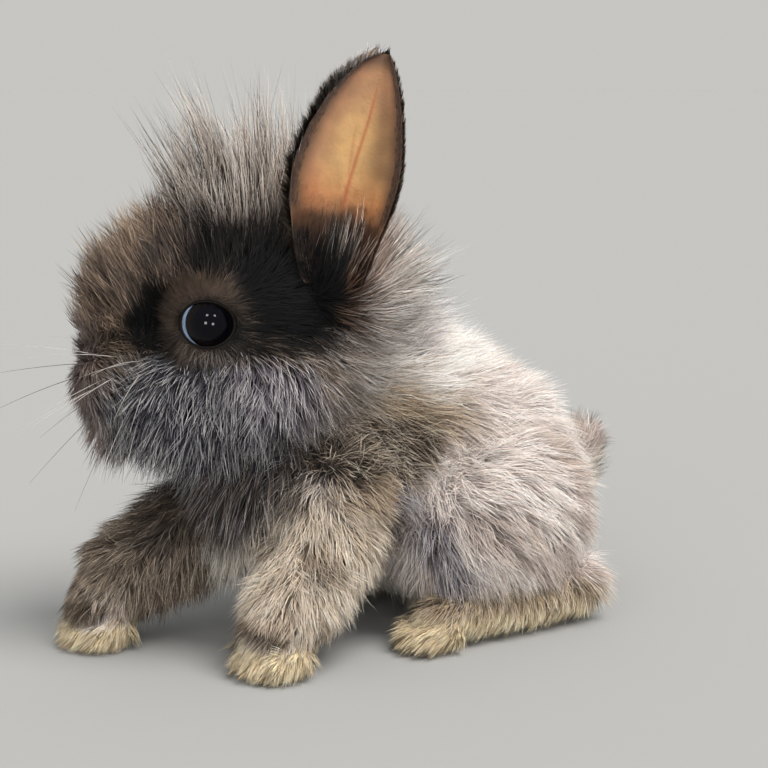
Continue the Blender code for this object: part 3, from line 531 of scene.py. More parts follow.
# Lie of the coat
# each zone: its frame, middle and size, then the way the coat lies there, how deep and long it is,
# how messy, how far it gathers into clumps, how much it curls, and how dense it is if not 1
zones = {
    "noseTip": ("head", (31, 0, -9), (3.5, 4, 4), (-0.6, 0.4, 0.6), 1.4, 3.2, 0.25, 0.1, 0.0, 1.6),
    "muzzle": ("head", (25, 8, -12), (8, 6, 7), (-0.8, 0.5, -0.3), 2.8, 6.4, 0.4, 0.2, 0.2, 1.3),
    "lips": ("head", (30, 0, -17), (4, 8, 6), (0.1, 0.6, -0.8), 3.2, 6.6, 0.4, 0.15, 0.3, 1.4),
    "chin": ("head", (22, 0, -26), (8, 8, 4), (0.3, 0.3, -1), 4.6, 10, 0.3, 0.4, 0.2, 1.2),
    "noseBridge": ("head", (28, 0, -2.5), (6, 7, 5.5), (0.3, 0.35, 1), 7.0, 10.5, 0.35, 0.2, 0.3, 1.4),
    "face": ("head", (22, 0, 6), (7, 9, 7), (0.35, 0.3, 1), 9.0, 12.0, 0.4, 0.25, 0.4, 1.4),
    "brow": ("head", (14, 4, 14), (9, 9, 6), (0.35, 0.25, 1), 9.5, 12.5, 0.4, 0.3, 0.5, 1.4),
    "crownFront": ("head", (0, 0, 22), (7, 9, 6), (0.24, 0.05, 1), 25, 29, 0.3, 0.3, 0.5, 2.3),
    "crown": ("head", (-11, 0, 22), (9, 9, 6), (0.12, 0.1, 1), 25, 29, 0.3, 0.3, 0.5, 2.4),
    "templeTop": ("head", (-8, 13, 12), (9, 4, 5), (0.0, 0.4, 1), 6.5, 10, 0.4, 0.35, 0.5),
    "eyeRing": ("head", (0, 15, 0), (7.4, 6, 7.2), "ring", 0.8, 2.6, 0.55, 0.1, 0.3, 1.4),
    "beforeEye": ("head", (13, 10, 0), (6, 6, 6), (0.0, 0.5, 0.9), 3.6, 8, 0.2, 0.3, 0.2),
    "cheekTop": ("head", (6, 15, -9), (11, 6, 4), (0.1, 0.3, -1), 4.2, 8, 0.6, 0.35, 0.6, 1.1),
    "beard": ("head", (8, 9, -21), (15, 9, 8), (0.32, 0.15, -1), 9.5, 13.5, 0.5, 0.4, 0.8, 1.2),
    "jaw": ("head", (-14, 14, -15), (10, 8, 8), (-0.05, 0.3, -1), 7.5, 11, 0.65, 0.35, 0.9, 1.1),
    "cheekBack": ("head", (-26, 15, -8), (8, 8, 7), (-0.8, 0.35, -0.5), 7, 11.5, 0.6, 0.4, 0.9, 1.1),
    "behindEye": ("head", (-15, 15, 4), (10, 7, 8), (-1, 0.2, 0.05), 3.2, 8, 0.15, 0.3, 0.1),
    "earFoot": ("head", (-27, 11, 12), (8, 9, 6), (-0.15, 0.45, 1), 8, 12.5, 0.2, 0.3, 0.2),
    "nape": ("head", (-33, 5, 0), (6, 10, 9), (-1, 0.1, 0.7), 12.5, 17, 0.35, 0.35, 0.5, 1.5),
    "maneTop": ("body", (0, 22, 73), (14, 16, 8), (0.3, 0.8, 1), 21, 26, 0.4, 0.3, 0.5, 1.4),
    "maneSide": ("body", (15, 26, 60), (8, 14, 9), (0.3, 1, 0.2), 14, 19, 0.5, 0.3, 0.8, 1.2),
    "shoulder": ("body", (21, 18, 48), (9, 16, 10), (0.15, 0.6, -0.9), 6.5, 8.5, 1.3, 0.35, 2.0, 1.2),
    "armTop": ("body", (20, 12, 36), (9, 12, 6), (0.1, 0.4, -1), 6, 9, 0.8, 0.45, 1.4, 1.1),
    "breast": ("body", (0, -8, 36), (16, 9, 18), (0, -0.05, -1), 8, 14, 0.45, 0.45, 0.7),
    "back": ("body", (0, 50, 62), (18, 28, 9), (0.05, 1, -0.15), 10, 14, 0.55, 0.45, 0.9),
    "flank": ("body", (24, 46, 42), (8, 24, 16), (0.0, 0.6, -0.85), 7.5, 12, 0.6, 0.45, 1.1),
    "rump": ("body", (0, 80, 36), (22, 9, 22), (0.1, 0.5, -1), 8.5, 13, 0.5, 0.45, 0.7),
    "belly": ("body", (0, 36, 10), (18, 30, 8), (0.1, 0.4, -0.5), 4.5, 10, 0.35, 0.45, 0.4),
    "thigh": ("body", (31, 54, 26), (7, 22, 16), (0.0, 0.6, -0.9), 5.2, 10, 0.5, 0.45, 1.0),
    "hindFoot": ("body", (26, 45, 7), (8, 28, 6), (0.05, -1, -0.25), 1.9, 5.5, 0.22, 0.4, 0.2),
    "leftArm": ("left", (20, 2, 24), (9, 10, 9), (-0.1, -0.1, -1), 4.6, 8.5, 0.6, 0.55, 1.2, 1.1),
    "leftPaw": ("left", (20, -10, 9), (8, 9, 8), (0.05, -0.55, -0.8), 2.6, 5.8, 0.45, 0.5, 0.6, 1.1),
    "rightArm": ("right", (-19, -12, 22), (9, 12, 9), (-0.1, -0.35, -1), 4.6, 8.5, 0.6, 0.55, 1.2, 1.1),
    "rightPaw": ("right", (-20, -32, 9), (8, 9, 8), (-0.05, -0.55, -0.8), 2.6, 5.8, 0.45, 0.5, 0.6, 1.1),
    "tail": ("body", (0, 95, 32), (8, 8, 9), (0.1, 0.3, 1), 3.8, 7.5, 0.5, 0.4, 0.8),
}
coatMeasures = ("depth", "length", "mess", "clump", "curl", "dense")


def lieOfCoat(points):
    lie = np.zeros((len(points), 3))
    totals = np.zeros(len(points))
    found = {measure: np.zeros(len(points)) for measure in coatMeasures}
    for of, middle, size, way, *measures in zones.values():
        local = zoneSpace(points, of)
        reach = np.sum(((local - np.array(middle)) / np.array(size)) ** 2, axis=1)
        weight = (np.exp(-reach) + 1e-5 / (1 + reach) ** 2) * onLimb(points, of)
        raw = inHead(points) if of == "head" else points
        if way == "ring":
            ways = raw * (1, 0, 1)
            ways[:, 1] = 0.15 * np.sign(raw[:, 1])
        else:
            ways = np.tile(np.array(way, float), (len(points), 1))
            if of in ("head", "body"):
                mirrored = 1 if of == "head" else 0
                ways[:, mirrored] *= np.sign(raw[:, mirrored])
        ways = unit(ways)
        if of == "head":
            ways = ways @ headAxes.T
        lie += ways * weight[:, None]
        totals += weight
        for measure, value in zip(coatMeasures, (*measures, 1.0)):
            found[measure] += value * weight
    for measure in coatMeasures:
        found[measure] /= totals
    found["lie"] = unit(lie)
    return found


# Tufts
# each layer of the coat: which lengths of coat it grows in, how long, deep and wide its tufts are, how
# many grow on a square millimetre of coat 1 mm long (fewer where it is longer), how many gather in a
# clump, in how many rings of three corners each is built, and how light its tones are
layers = {
    "under": {"from": 5.2, "upTo": 99, "length": 0.66, "depth": 0.7, "width": 0.46, "dense": 9.0,
              "perClump": 7, "rings": 2, "shade": 0.8},
    "guard": {"from": 5.2, "upTo": 15.5, "length": 1.0, "depth": 1.0, "width": 0.2, "dense": 26.0,
              "perClump": 10, "rings": 2, "shade": 1.0},
    "long": {"from": 15.5, "upTo": 99, "length": 1.0, "depth": 1.0, "width": 0.2, "dense": 25.0,
             "perClump": 10, "rings": 3, "shade": 1.0},
    "stray": {"from": 5.2, "upTo": 99, "length": 1.12, "depth": 1.1, "width": 0.13, "dense": 4.6,
              "perClump": 3, "rings": 2, "shade": 1.1},
    "short": {"from": 0, "upTo": 5.2, "length": 1.0, "depth": 1.0, "width": 0.17, "dense": 200.0,
              "perClump": 9, "rings": 1, "shade": 1.0},
}
stationShares = {1: np.array((0, 1)), 2: np.array((0, 0.58, 1)), 3: np.array((0, 0.4, 0.74, 1))}
# "piece" is the most triangles in a piece, "patch" the size of a tuft on the baking map; "softLight" and
# "softShort" are how far long and short tufts are lit as the coat around them, and "tintAt" says how far
# along its lie a tuft takes its root, middle and tip tone from
coatRules = {
    "rootDepth": 0.7, "floorGap": 0.3, "piece": 190000, "bundle": 1500, "patch": 0.003, "droop": 0.16,
    "softLight": 0.6, "softShort": 0.82, "tintAt": (0.15, 0.5, 0.8), "skinTint": (0.6, 0.12),
    "toneLean": 0.55,
    "lengths": (0.78, 1.14), "guideLengths": (0.8, 1.12), "depths": (0.72, 1.1), "widths": (0.7, 1.15),
    "taper": 0.55, "curl": 0.07, "swirl": 2.6, "waver": 9.0, "quickShare": 0.4,
}


# the line of each tuft, which starts steep and bends over until it lies as the coat does
def curve(roots, normals, lie, lengths, depths, rings, rootDepth):
    lift = np.arcsin(np.clip(depths / lengths, 0.05, 0.95))
    point = roots - normals * rootDepth
    line = [point]
    towards = np.sum(lie * normals, axis=1)
    flat = unit(lie - normals * towards[:, None])
    shares = stationShares[rings]
    for before, after in zip(shares, shares[1:]):
        share = (before + after) / 2
        rise = np.clip(np.sin(lift * (1.5 - share)), 0.02, 0.98)
        rise = np.maximum(rise, towards)
        way = flat * np.sqrt(1 - rise * rise)[:, None] + normals * rise[:, None]
        way[:, 2] -= coatRules["droop"] * share * share
        point = point + unit(way) * (lengths * (after - before))[:, None]
        line.append(point)
    return np.stack(line, axis=1)


# tufts grow around guides: each takes the nearest guide's way and length and is drawn to its tip
def growTufts(roots, normals, look, layer, own):
    count = len(roots)
    rings = layer["rings"]
    guides = own.choice(count, max(1, count // layer["perClump"]), replace=False)
    tree = KDTree(len(guides))
    for index, guide in enumerate(guides):
        tree.insert(roots[guide], index)
    tree.balance()
    mine = np.array([tree.find(root)[1] for root in roots])
    mess, clump, curl = look["mess"], look["clump"], look["curl"]
    guideJitter = own.normal(0, 1, (len(guides), 3))
    guideLength = own.uniform(*coatRules["guideLengths"], len(guides))
    jitter = guideJitter[mine] + 0.5 * own.normal(0, 1, (count, 3))
    waver = softNoise(roots, coatRules["waver"])
    lie = unit(look["lie"] + 0.5 * mess[:, None] * jitter + 0.5 * mess[:, None] * waver)
    lengths = look["length"] * layer["length"] * guideLength[mine] * own.uniform(*coatRules["lengths"], count)
    depths = look["depth"] * layer["depth"] * own.uniform(*coatRules["depths"], count)
    depths = np.minimum(depths, 0.9 * lengths)
    rootDepth = layer.get("rootDepth", coatRules["rootDepth"])
    lines = curve(roots, normals, lie, lengths, depths, rings, rootDepth)
    guideLines = lines[guides]
    shares = stationShares[rings]
    ratio = (lengths / lengths[guides][mine])[:, None, None]
    target = guideLines[mine][:, :1] + (guideLines[mine] - guideLines[mine][:, :1]) * ratio
    pull = clump[:, None, None] * (shares ** 1.4)[None, :, None]
    pull = pull * own.uniform(0.5, 1.1, count)[:, None, None]
    lines = lines + (target - lines) * np.clip(pull, 0, 0.95)
    turn = own.uniform(0, 2 * math.pi, len(guides))[mine][:, None] + own.normal(0, 0.6, count)[:, None]
    swirl = turn + coatRules["swirl"] * shares[None, :]
    sideways = unit(np.cross(lie, normals))
    outward = np.cross(sideways, lie)
    amount = (curl * coatRules["curl"] * lengths)[:, None] * shares[None, :]
    lines += (amount * np.cos(swirl))[..., None] * sideways[:, None]
    lines += (amount * np.sin(swirl))[..., None] * outward[:, None]
    lines[:, :, 2] = np.maximum(lines[:, :, 2], floorLevel + coatRules["floorGap"])
    return lines, mine


# closed three-sided tufts that taper to a tip, lit partly as the coat around them
def tuftMesh(lines, widths, normals, tints, uvs, own):
    count, stations = lines.shape[:2]
    rings = stations - 1
    shares = stationShares[rings][:-1]
    along = unit(np.gradient(lines, axis=1)) if rings > 1 else unit(lines[:, 1:] - lines[:, :-1])
    along = along[:, :rings]
    spin = own.uniform(-1.0, 1.0, count)
    side = unit(np.cross(along, np.broadcast_to(normals[:, None], along.shape)))
    over = np.cross(side, along)
    tilted = side * np.cos(spin)[:, None, None] + over * np.sin(spin)[:, None, None]
    raised = np.cross(tilted, along)
    taper = (1 - shares ** 1.8 * coatRules["taper"])[None, :] * widths[:, None] * 0.5
    corners = np.empty((count, 3 * rings + 1, 3))
    facing = np.empty((count, 3 * rings + 1, 3))
    softLight = coatRules["softLight" if rings > 1 else "softShort"]
    for corner, (across, up) in enumerate(((1.0, -0.4), (-1.0, -0.4), (0.0, 0.8))):
        offset = across * tilted + up * raised
        corners[:, corner:3 * rings:3] = lines[:, :rings] + offset * taper[..., None]
        facing[:, corner:3 * rings:3] = (1 - softLight) * unit(offset) + softLight * normals[:, None]
    corners[:, -1] = lines[:, -1]
    facing[:, -1] = (1 - softLight) * over[:, -1] + softLight * normals
    pattern = []
    for ring in range(rings - 1):
        for corner in range(3):
            a, b = 3 * ring + corner, 3 * ring + (corner + 1) % 3
            pattern += [(a, b, b + 3), (a, b + 3, a + 3)]
    last = 3 * (rings - 1)
    pattern += [(last + corner, last + (corner + 1) % 3, 3 * rings) for corner in range(3)]
    pattern.append((0, 2, 1))
    pattern = np.array(pattern)
    faces = (pattern[None] + (np.arange(count) * (3 * rings + 1))[:, None, None]).reshape(-1, 3)
    tint = np.empty((count, 3 * rings + 1, 3))
    tint[:, :-1] = np.repeat(tints[:, :rings], 3, axis=1)
    tint[:, -1] = tints[:, rings]
    patch = np.zeros((3 * rings + 1, 2))
    patch[:-1, 0] = np.tile((0.0, 1.0, 0.5), rings) - 0.5
    patch[:-1, 1] = np.repeat(shares, 3) - 0.5
    patch[-1] = (0.0, 0.5)
    uv = uvs[:, None] + patch[None] * coatRules["patch"]
    return corners.reshape(-1, 3), faces, tint.reshape(-1, 3), uv.reshape(-1, 2), unit(facing).reshape(-1, 3)


# colours from root to tip of each tuft, from the tones of the places that root, middle and tip lie over;
# at a border between tones each tuft leans to one of them
def tuftTints(sharesAlong, mine, rings, shade, own):
    count = len(mine)
    draw = own.random((count, 1))
    parts = []
    for part, shares in enumerate(sharesAlong):
        chosen = (shares.cumsum(axis=1) < draw).sum(axis=1).clip(0, len(toneNames) - 1)
        shares = (1 - coatRules["toneLean"]) * shares
        shares[np.arange(count), chosen] += coatRules["toneLean"]
        parts.append(shares @ np.array([tones[name][part] for name in toneNames]))
    root, middle, tip = parts
    pale = shares @ np.array([tones[name][3] for name in toneNames])
    isPale = (own.random(count) < pale)[:, None]
    tip = np.where(isPale, tip, middle * own.uniform(0.55, 0.95, (count, 1)))
    groups = int(mine.max()) + 1
    glow = np.exp(own.normal(0, 0.12, groups))[mine] * np.exp(own.normal(0, 0.15, count)) * shade
    warm = 1 + own.normal(0, 0.03, (count, 1)) * np.array([1.0, 0.1, -1.0])
    if rings == 1:
        steps = [0.45 * root + 0.55 * middle, 0.35 * middle + 0.65 * tip]
    elif rings == 2:
        steps = [root, 0.85 * middle + 0.15 * tip, tip]
    else:
        steps = [root, 0.35 * root + 0.65 * middle, 0.65 * middle + 0.35 * tip, tip]
    return np.stack([np.clip(step * glow[:, None] * warm, 0.001, 0.95) for step in steps], axis=1)


def clearOfEyes(lines):
    local = inHead(lines)
    over = (lidReach(local) < eyeLook["clearTo"]) & (np.abs(local[..., 1]) > eyeLook["hairFrom"])
    return ~over.any(axis=1)


coatPieces = {}
coatSlots = {
    "headFur": "agouti_coat", "maneFur": "mane_coat", "bodyFur": "agouti_coat",
    "legFur": "leg_coat", "tailFur": "agouti_coat", "leftEarFur": "ear_skin", "rightEarFur": "ear_skin",
}


# files whole tufts under the part of the animal they grow on, in bundles small enough to share out
def fileTufts(group, lines, widths, normals, tints, uvs, own):
    for start in range(0, len(lines), coatRules["bundle"]):
        here = slice(start, start + coatRules["bundle"])
        part = tuftMesh(lines[here], widths[here], normals[here], tints[here], uvs[here], own)
        pieces = coatPieces.setdefault(group, [[]])
        if sum(len(other[1]) for other in pieces[-1]) + len(part[1]) > coatRules["piece"]:
            pieces.append([])
        pieces[-1].append(part)


def finishCoat():
    total = 0
    for group, pieces in coatPieces.items():
        for number, parts in enumerate(pieces, 1):
            starts = np.cumsum([0] + [len(part[0]) for part in parts])
            corners, tints, uvs, facing = (
                np.concatenate([part[k] for part in parts]) for k in (0, 2, 3, 4)
            )
            faces = np.concatenate([part[1] + start for part, start in zip(parts, starts)])
            name = group if len(pieces) == 1 else f"{group}{number}"
            makePiece(name, corners, faces, furMaterial, tints, uvs, facing)
            total += len(faces)
    print("coat of", total, "triangles in", sum(map(len, coatPieces.values())), "pieces")


# the part of the animal each tuft is filed under: mane and head are eggs of middle and size, the others
# limits on how far aside, forward or back, and low or high a root stands
furAreas = {"mane": ((0, 26, 62), (24, 24, 20)), "head": ((0, 0, -2), (36, 22, 27)),
            "forelegs": (8, 14, 26), "hindFeet": (16, 12), "tail": (9, 84, 18)}


def groupOf(points):
    x, y, z = points.T
    aside = np.abs(x)
    inEgg = {
        name: np.linalg.norm((places - furAreas[name][0]) / furAreas[name][1], axis=1) < 1
        for name, places in (("mane", points), ("head", inHead(points)))
    }
    group = np.full(len(points), "bodyFur", dtype=object)
    group[inEgg["mane"]] = "maneFur"
    beyond, ahead, below = furAreas["forelegs"]
    group[(aside > beyond) & (z < below) & (y < ahead)] = "legFur"
    beyond, below = furAreas["hindFeet"]
    group[(aside > beyond) & (z < below)] = "legFur"
    within, behind, above = furAreas["tail"]
    group[(y > behind) & (aside < within) & (z > above)] = "tailFur"
    group[inEgg["head"]] = "headFur"
    return group


# the cleft under the nose, where no tuft grows
noseBare = {"from": 28.5, "wide": 1.0, "up": -13.0, "high": 4.5}


def growCoat(points, triangles, normals, uvOfCorner):
    a, b, c = (points[triangles[:, k]] for k in range(3))
    areas = 0.5 * np.linalg.norm(np.cross(b - a, c - a), axis=1)
    centres = (a + b + c) / 3
    lookThere = lieOfCoat(centres)
    lengthThere = lookThere["length"]
    local = inHead(centres)
    bare = (local[:, 0] > noseBare["from"]) & (np.abs(local[:, 1]) < noseBare["wide"])
    bare &= np.abs(local[:, 2] - noseBare["up"]) < noseBare["high"]
    bare |= (lidReach(local) < 1.0) & (np.abs(local[:, 1]) > eyeLook["sidesFrom"])
    for number, (name, layer) in enumerate(layers.items()):
        own = np.random.default_rng(100 + number)
        wanted = (lengthThere >= layer["from"]) & (lengthThere < layer["upTo"]) & ~bare
        density = layer["dense"] * lookThere["dense"] / np.maximum(lengthThere, 2.5) * wanted
        chances = np.cumsum(areas * density)
        count = int(chances[-1])
        chosen = np.searchsorted(chances, own.uniform(0, chances[-1], count))
        first, second = np.sort(own.random((2, count)), axis=0)
        parts = np.stack([first, second - first, 1 - second], axis=1)
        roots = np.einsum("nk,nkd->nd", parts, points[triangles[chosen]])
        rootNormals = unit(np.einsum("nk,nkd->nd", parts, normals[triangles[chosen]]))
        uvs = np.einsum("nk,nkd->nd", parts, uvOfCorner[chosen])
        look = lieOfCoat(roots)
        lines, mine = growTufts(roots, rootNormals, look, layer, own)
        run = lines[:, -1] - roots
        run = run - rootNormals * np.sum(run * rootNormals, axis=1)[:, None]
        shares = [toneShares(roots + part * run) for part in coatRules["tintAt"]]
        tints = tuftTints(shares, mine, layer["rings"], layer["shade"], own)
        widths = layer["width"] * own.uniform(*coatRules["widths"], count)
        widths = widths * (0.8 + 0.2 * softStep(3, 12, look["length"]))
        keep = clearOfEyes(lines)
        groups = groupOf(roots)
        for group in coatSlots:
            here = keep & (groups == group)
            fileTufts(group, lines[here], widths[here], rootNormals[here], tints[here], uvs[here], own)
        print("coat layer", name, "with", count, "tufts")


def unwrap(piece):
    bpy.context.view_layer.objects.active = piece
    piece.select_set(True)
    bpy.ops.object.mode_set(mode="EDIT")
    bpy.ops.mesh.select_all(action="SELECT")
    bpy.ops.uv.smart_project(angle_limit=math.radians(66), island_margin=0.001)
    bpy.ops.object.mode_set(mode="OBJECT")
    piece.select_set(False)
    piece.data.uv_layers[0].name = "OFBake"
    uvs = np.empty(len(piece.data.loops) * 2, np.float32)
    piece.data.uv_layers["OFBake"].uv.foreach_get("vector", uvs)
    return uvs.reshape(-1, 3, 2)


skinPoints, skinTriangles = meshArrays(buildSkin())
skinPoints = sculptFace(skinPoints, pointNormals(skinPoints, skinTriangles))
skinPoints = settleLids(skinPoints)
skinNormals = pointNormals(skinPoints, skinTriangles)
skinShares = toneShares(skinPoints)
rootShare, middleShare = coatRules["skinTint"]
skinTones = [rootShare * tones[name][0] + middleShare * tones[name][1] for name in toneNames]
skinTints = skinShares @ np.array(skinTones)
skin = makePiece("skin", skinPoints, skinTriangles, skinMaterial, skinTints)
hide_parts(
    "head", "neck", "torso", "tail",
    "left_foreleg", "right_foreleg", "left_hind_leg", "right_hind_leg",
)
skinMap = unwrap(skin)
print("skin of", len(skinTriangles), "triangles")
growCoat(skinPoints, skinTriangles, skinNormals, skinMap)


# Eyes
eyeTones = {
    "white": paint(150, 170, 200), "rim": paint(8, 9, 14), "iris": paint(18, 14, 14),
    "pupil": paint(9, 10, 19), "lid": paint(24, 20, 19), "lidEdge": paint(10, 10, 11),
}


def buildEye(name, side, node):
    shape = bmesh.new()
    bmesh.ops.create_uvsphere(shape, u_segments=96, v_segments=80, radius=1.0)
    bmesh.ops.triangulate(shape, faces=shape.faces)
    mesh = bpy.data.meshes.new(name + "Draft")
    shape.to_mesh(mesh)
    shape.free()
    points, triangles = meshArrays(mesh)
    bpy.data.meshes.remove(mesh)
    angle = np.degrees(np.arccos(np.clip(points[:, 2], -1, 1)))
    reach = eyeLook["radius"] + eyeLook["cornea"] * (1 - softStep(*eyeLook["bulge"], angle))
    gaze = unit(np.array(eyeLook["gaze"]) * (1, side, 1))
    across = unit(np.cross(gaze, (0, 0, 1)))
    frameOfEye = np.stack([across, np.cross(gaze, across), gaze])
    local = (points * reach[:, None]) @ frameOfEye + np.array((0, side * eyeLook["out"], 0))
    around = np.arctan2(points[:, 1], points[:, 0])
    fibres = 1 + 0.35 * np.sin(37 * around + 3 * np.sin(5 * around))[:, None]
    iris, pupil = eyeLook["iris"], eyeLook["pupil"]
    tint = np.tile(eyeTones["white"], (len(points), 1))
    tint = blendTo(tint, eyeTones["rim"], 1 - softStep(iris - 1, iris + 3, angle))
    tint = blendTo(tint, eyeTones["iris"] * fibres, 1 - softStep(iris - 9, iris - 3, angle))
    tint = blendTo(tint, eyeTones["pupil"], 1 - softStep(pupil - 2, pupil + 2, angle))
    ball = makePiece(name, fromHead(local), triangles, eyeMaterial, tint)
    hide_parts(node)


def buildLid(name, side):
    rows, steps = 96, 14
    around = np.linspace(0, 2 * math.pi, rows, endpoint=False)
    section = np.linspace(0, 2 * math.pi, steps, endpoint=False)
    around, section = (grid.ravel() for grid in np.meshgrid(around, section, indexing="ij"))
    thick = eyeLook["lidThick"] * (1 + 0.5 * np.abs(np.cos(around)) ** 10)
    wide, high = eyeLook["opening"]
    forward, up = wide * np.cos(around), high * np.sin(around)
    out = ballOut(forward, up, eyeLook["radius"] + eyeLook["lidOver"])
    ring = np.stack([forward, out, up], axis=1)
    ahead = np.stack([-wide * np.sin(around), 0 * around, high * np.cos(around)], axis=1)
    outward = unit(ring - (0, eyeLook["out"], 0))
    beside = unit(np.cross(ahead, outward))
    points = ring + thick[:, None] * (np.cos(section)[:, None] * beside + np.sin(section)[:, None] * outward)
    faces = gridFaces(rows, steps, closedAcross=True, closedAlong=True)
    if side < 0:
        faces = faces[:, ::-1]
    wet = softStep(0.2, 0.9, -np.cos(section))
    tint = blendTo(np.tile(eyeTones["lid"], (len(points), 1)), eyeTones["lidEdge"], wet)
    makePiece(name, fromHead(points * (1, side, 1)), faces, lidMaterial, tint)


buildEye("leftEyeball", 1, "left_eye")
buildEye("rightEyeball", -1, "right_eye")
buildLid("leftLid", 1)
buildLid("rightLid", -1)
print("eyes done")

# Ears
earLook = {
    "length": 49.0, "halfWidth": 11.5, "rootNarrow": 0.84, "bulge": 2.2, "thick": 1.5,
    "out": 11.0, "back": 27.5, "up": 8.0, "sweep": 2.5, "opening": (0.1, 1.0, 0.1),
    "wrapAtRoot": 85.0, "wrapAbove": 38.0, "wrapShare": 0.6, "rows": 110, "steps": 72,
    "outline": (0.14, 0.855, 0.6), "thinEdge": 0.72,
}
earLeans = {"left": (6.0, 12.0), "right": (6.0, 6.0)}  # out to the side and back, in degrees


# how wide the ear is along its length, as a share of its widest
def earWidth(share):
    start, run, power = earLook["outline"]
    return np.sin(math.pi * np.clip(start + run * share, 0, 0.999)) ** power


# a point of the ear in the head's frame: share runs up the ear, around from one edge to the other, and
# layer from the outer face at -0.5 to the inner one at 0.5
def earPoint(side, share, around, layer):
    leanOut, leanBack = np.radians(earLeans["left" if side > 0 else "right"])
    lean = unit(np.array((-math.sin(leanBack), side * math.sin(leanOut), 1.0)))
    opening = np.array(earLook["opening"]) * (1, side, 1)
    opening = unit(opening - lean * (opening @ lean))
    sideWay = np.cross(lean, opening)
    narrow = earLook["rootNarrow"] + (1 - earLook["rootNarrow"]) * softStep(0.15, 0.55, share)
    halfWidth = narrow * earLook["halfWidth"] * earWidth(share)
    unrolled = np.minimum(1.0, share / earLook["wrapShare"])
    wrap = np.radians(earLook["wrapAtRoot"] + (earLook["wrapAbove"] - earLook["wrapAtRoot"]) * unrolled)
    radius = halfWidth / np.sin(np.minimum(wrap, math.pi / 2))
    middle = np.array((-earLook["back"], side * earLook["out"], earLook["up"]))
    middle = middle + lean * (earLook["length"] * share)[:, None]
    middle = middle - opening * (earLook["sweep"] * share ** 2)[:, None]
    middle[:, 0] += earLook["bulge"] * np.sqrt(np.abs(np.sin(math.pi * np.clip(share, 0, 1))))
    angle = wrap * around
    inward = opening * np.cos(angle)[:, None] - sideWay * np.sin(angle)[:, None]
    edge = np.maximum(np.abs(around) ** 5, share ** 8)
    thick = earLook["thick"] * (1 - earLook["thinEdge"] * edge)
    return middle + opening * radius[:, None] - inward * (radius - layer * thick)[:, None]


# gold and orange are partly the ear skin's own colour and partly painted glow of light shining through the
# thin ear from behind
earTones = {
    "gold": paint(216, 172, 116), "glowOrange": paint(192, 120, 76), "pink": paint(164, 120, 92),
    "brown": paint(114, 84, 64), "dark": paint(52, 40, 35), "outer": paint(112, 94, 78),
    "vein": paint(176, 76, 46),
}


# front is towards the face, 1 at the ear's front edge and -1 at its back edge
def earTints(share, around, inside, side):
    front = -around * side
    gold, glowOrange, pink, brown, dark, outer, veinTone = earTones.values()
    # the gold base and the orange low down are painted glow of light coming through the ear, over the skin's
    # own colour
    tint = np.tile(gold, (len(share), 1))
    tint = blendTo(tint, pink, 0.8 * softStep(0.15, 0.7, front))
    tint = blendTo(tint, brown, 0.75 * softStep(0.05, 0.55, -front) * softStep(0.3, 0.55, share))
    tint = blendTo(tint, glowOrange, 0.8 * (1 - softStep(0.3, 0.56, share)))
    tint = blendTo(tint, pink, 0.7 * softStep(0.66, 0.86, share))
    vein = 0.02 - 0.2 * softStep(0.3, 0.9, share)
    red = np.exp(-((front - vein) / 0.035) ** 2) * softStep(0.22, 0.42, share)
    red = red * (1 - softStep(0.75, 0.95, share))
    branch = np.exp(-((front - vein - 0.9 * (share - 0.45)) / 0.03) ** 2)
    branch = branch * softStep(0.45, 0.5, share) * (1 - softStep(0.6, 0.75, share))
    tint = blendTo(tint, veinTone, 0.6 * np.maximum(red, 0.5 * branch))
    tint = blendTo(tint, brown, softStep(0.6, 0.9, np.abs(around)))
    tint = blendTo(tint, dark, 0.85 * softStep(0.84, 0.98, np.abs(around)))
    tint = blendTo(tint, dark, 0.8 * softStep(0.9, 0.985, share))
    tint = blendTo(tint, brown, 1 - softStep(0.26, 0.42, share))
    tint = blendTo(tint, dark, 0.9 * (1 - softStep(0.12, 0.34, share)))
    return np.where(inside[:, None], tint, outer)


def buildEar(name, side, node):
    rows, steps = earLook["rows"], earLook["steps"] + 1
    share, around = (grid.ravel() for grid in np.meshgrid(
        np.linspace(0, 1, rows), np.linspace(-1, 1, steps), indexing="ij"))
    inner = earPoint(side, share, around, 0.5)
    outer = earPoint(side, share, around, -0.5)
    count = rows * steps
    grid = gridFaces(rows, steps)
    index = np.arange(count).reshape(rows, steps)
    seams = []
    for line, turned in ((index[:, 0], False), (index[:, -1], True), (index[0], True), (index[-1], False)):
        a, b = line[:-1], line[1:]
        seam = np.stack([a, b, b + count, a + count], axis=1)
        seams.append(seam[:, ::-1] if turned else seam)
    faces = np.concatenate([grid, grid[:, ::-1] + count, *seams])
    if side < 0:
        faces = faces[:, ::-1]
    tint = earTints(np.tile(share, 2), np.tile(around, 2), np.arange(2 * count) < count, side)
    ear = makePiece(name, fromHead(np.concatenate([inner, outer])), faces, earMaterial, tint)
    shape = bmesh.new()
    shape.from_mesh(ear.data)
    bmesh.ops.recalc_face_normals(shape, faces=shape.faces)
    shape.to_mesh(ear.data)
    shape.free()
    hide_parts(node)


earLayer = {"length": 1.0, "depth": 1.0, "perClump": 6, "rings": 1, "rootDepth": 0.3}
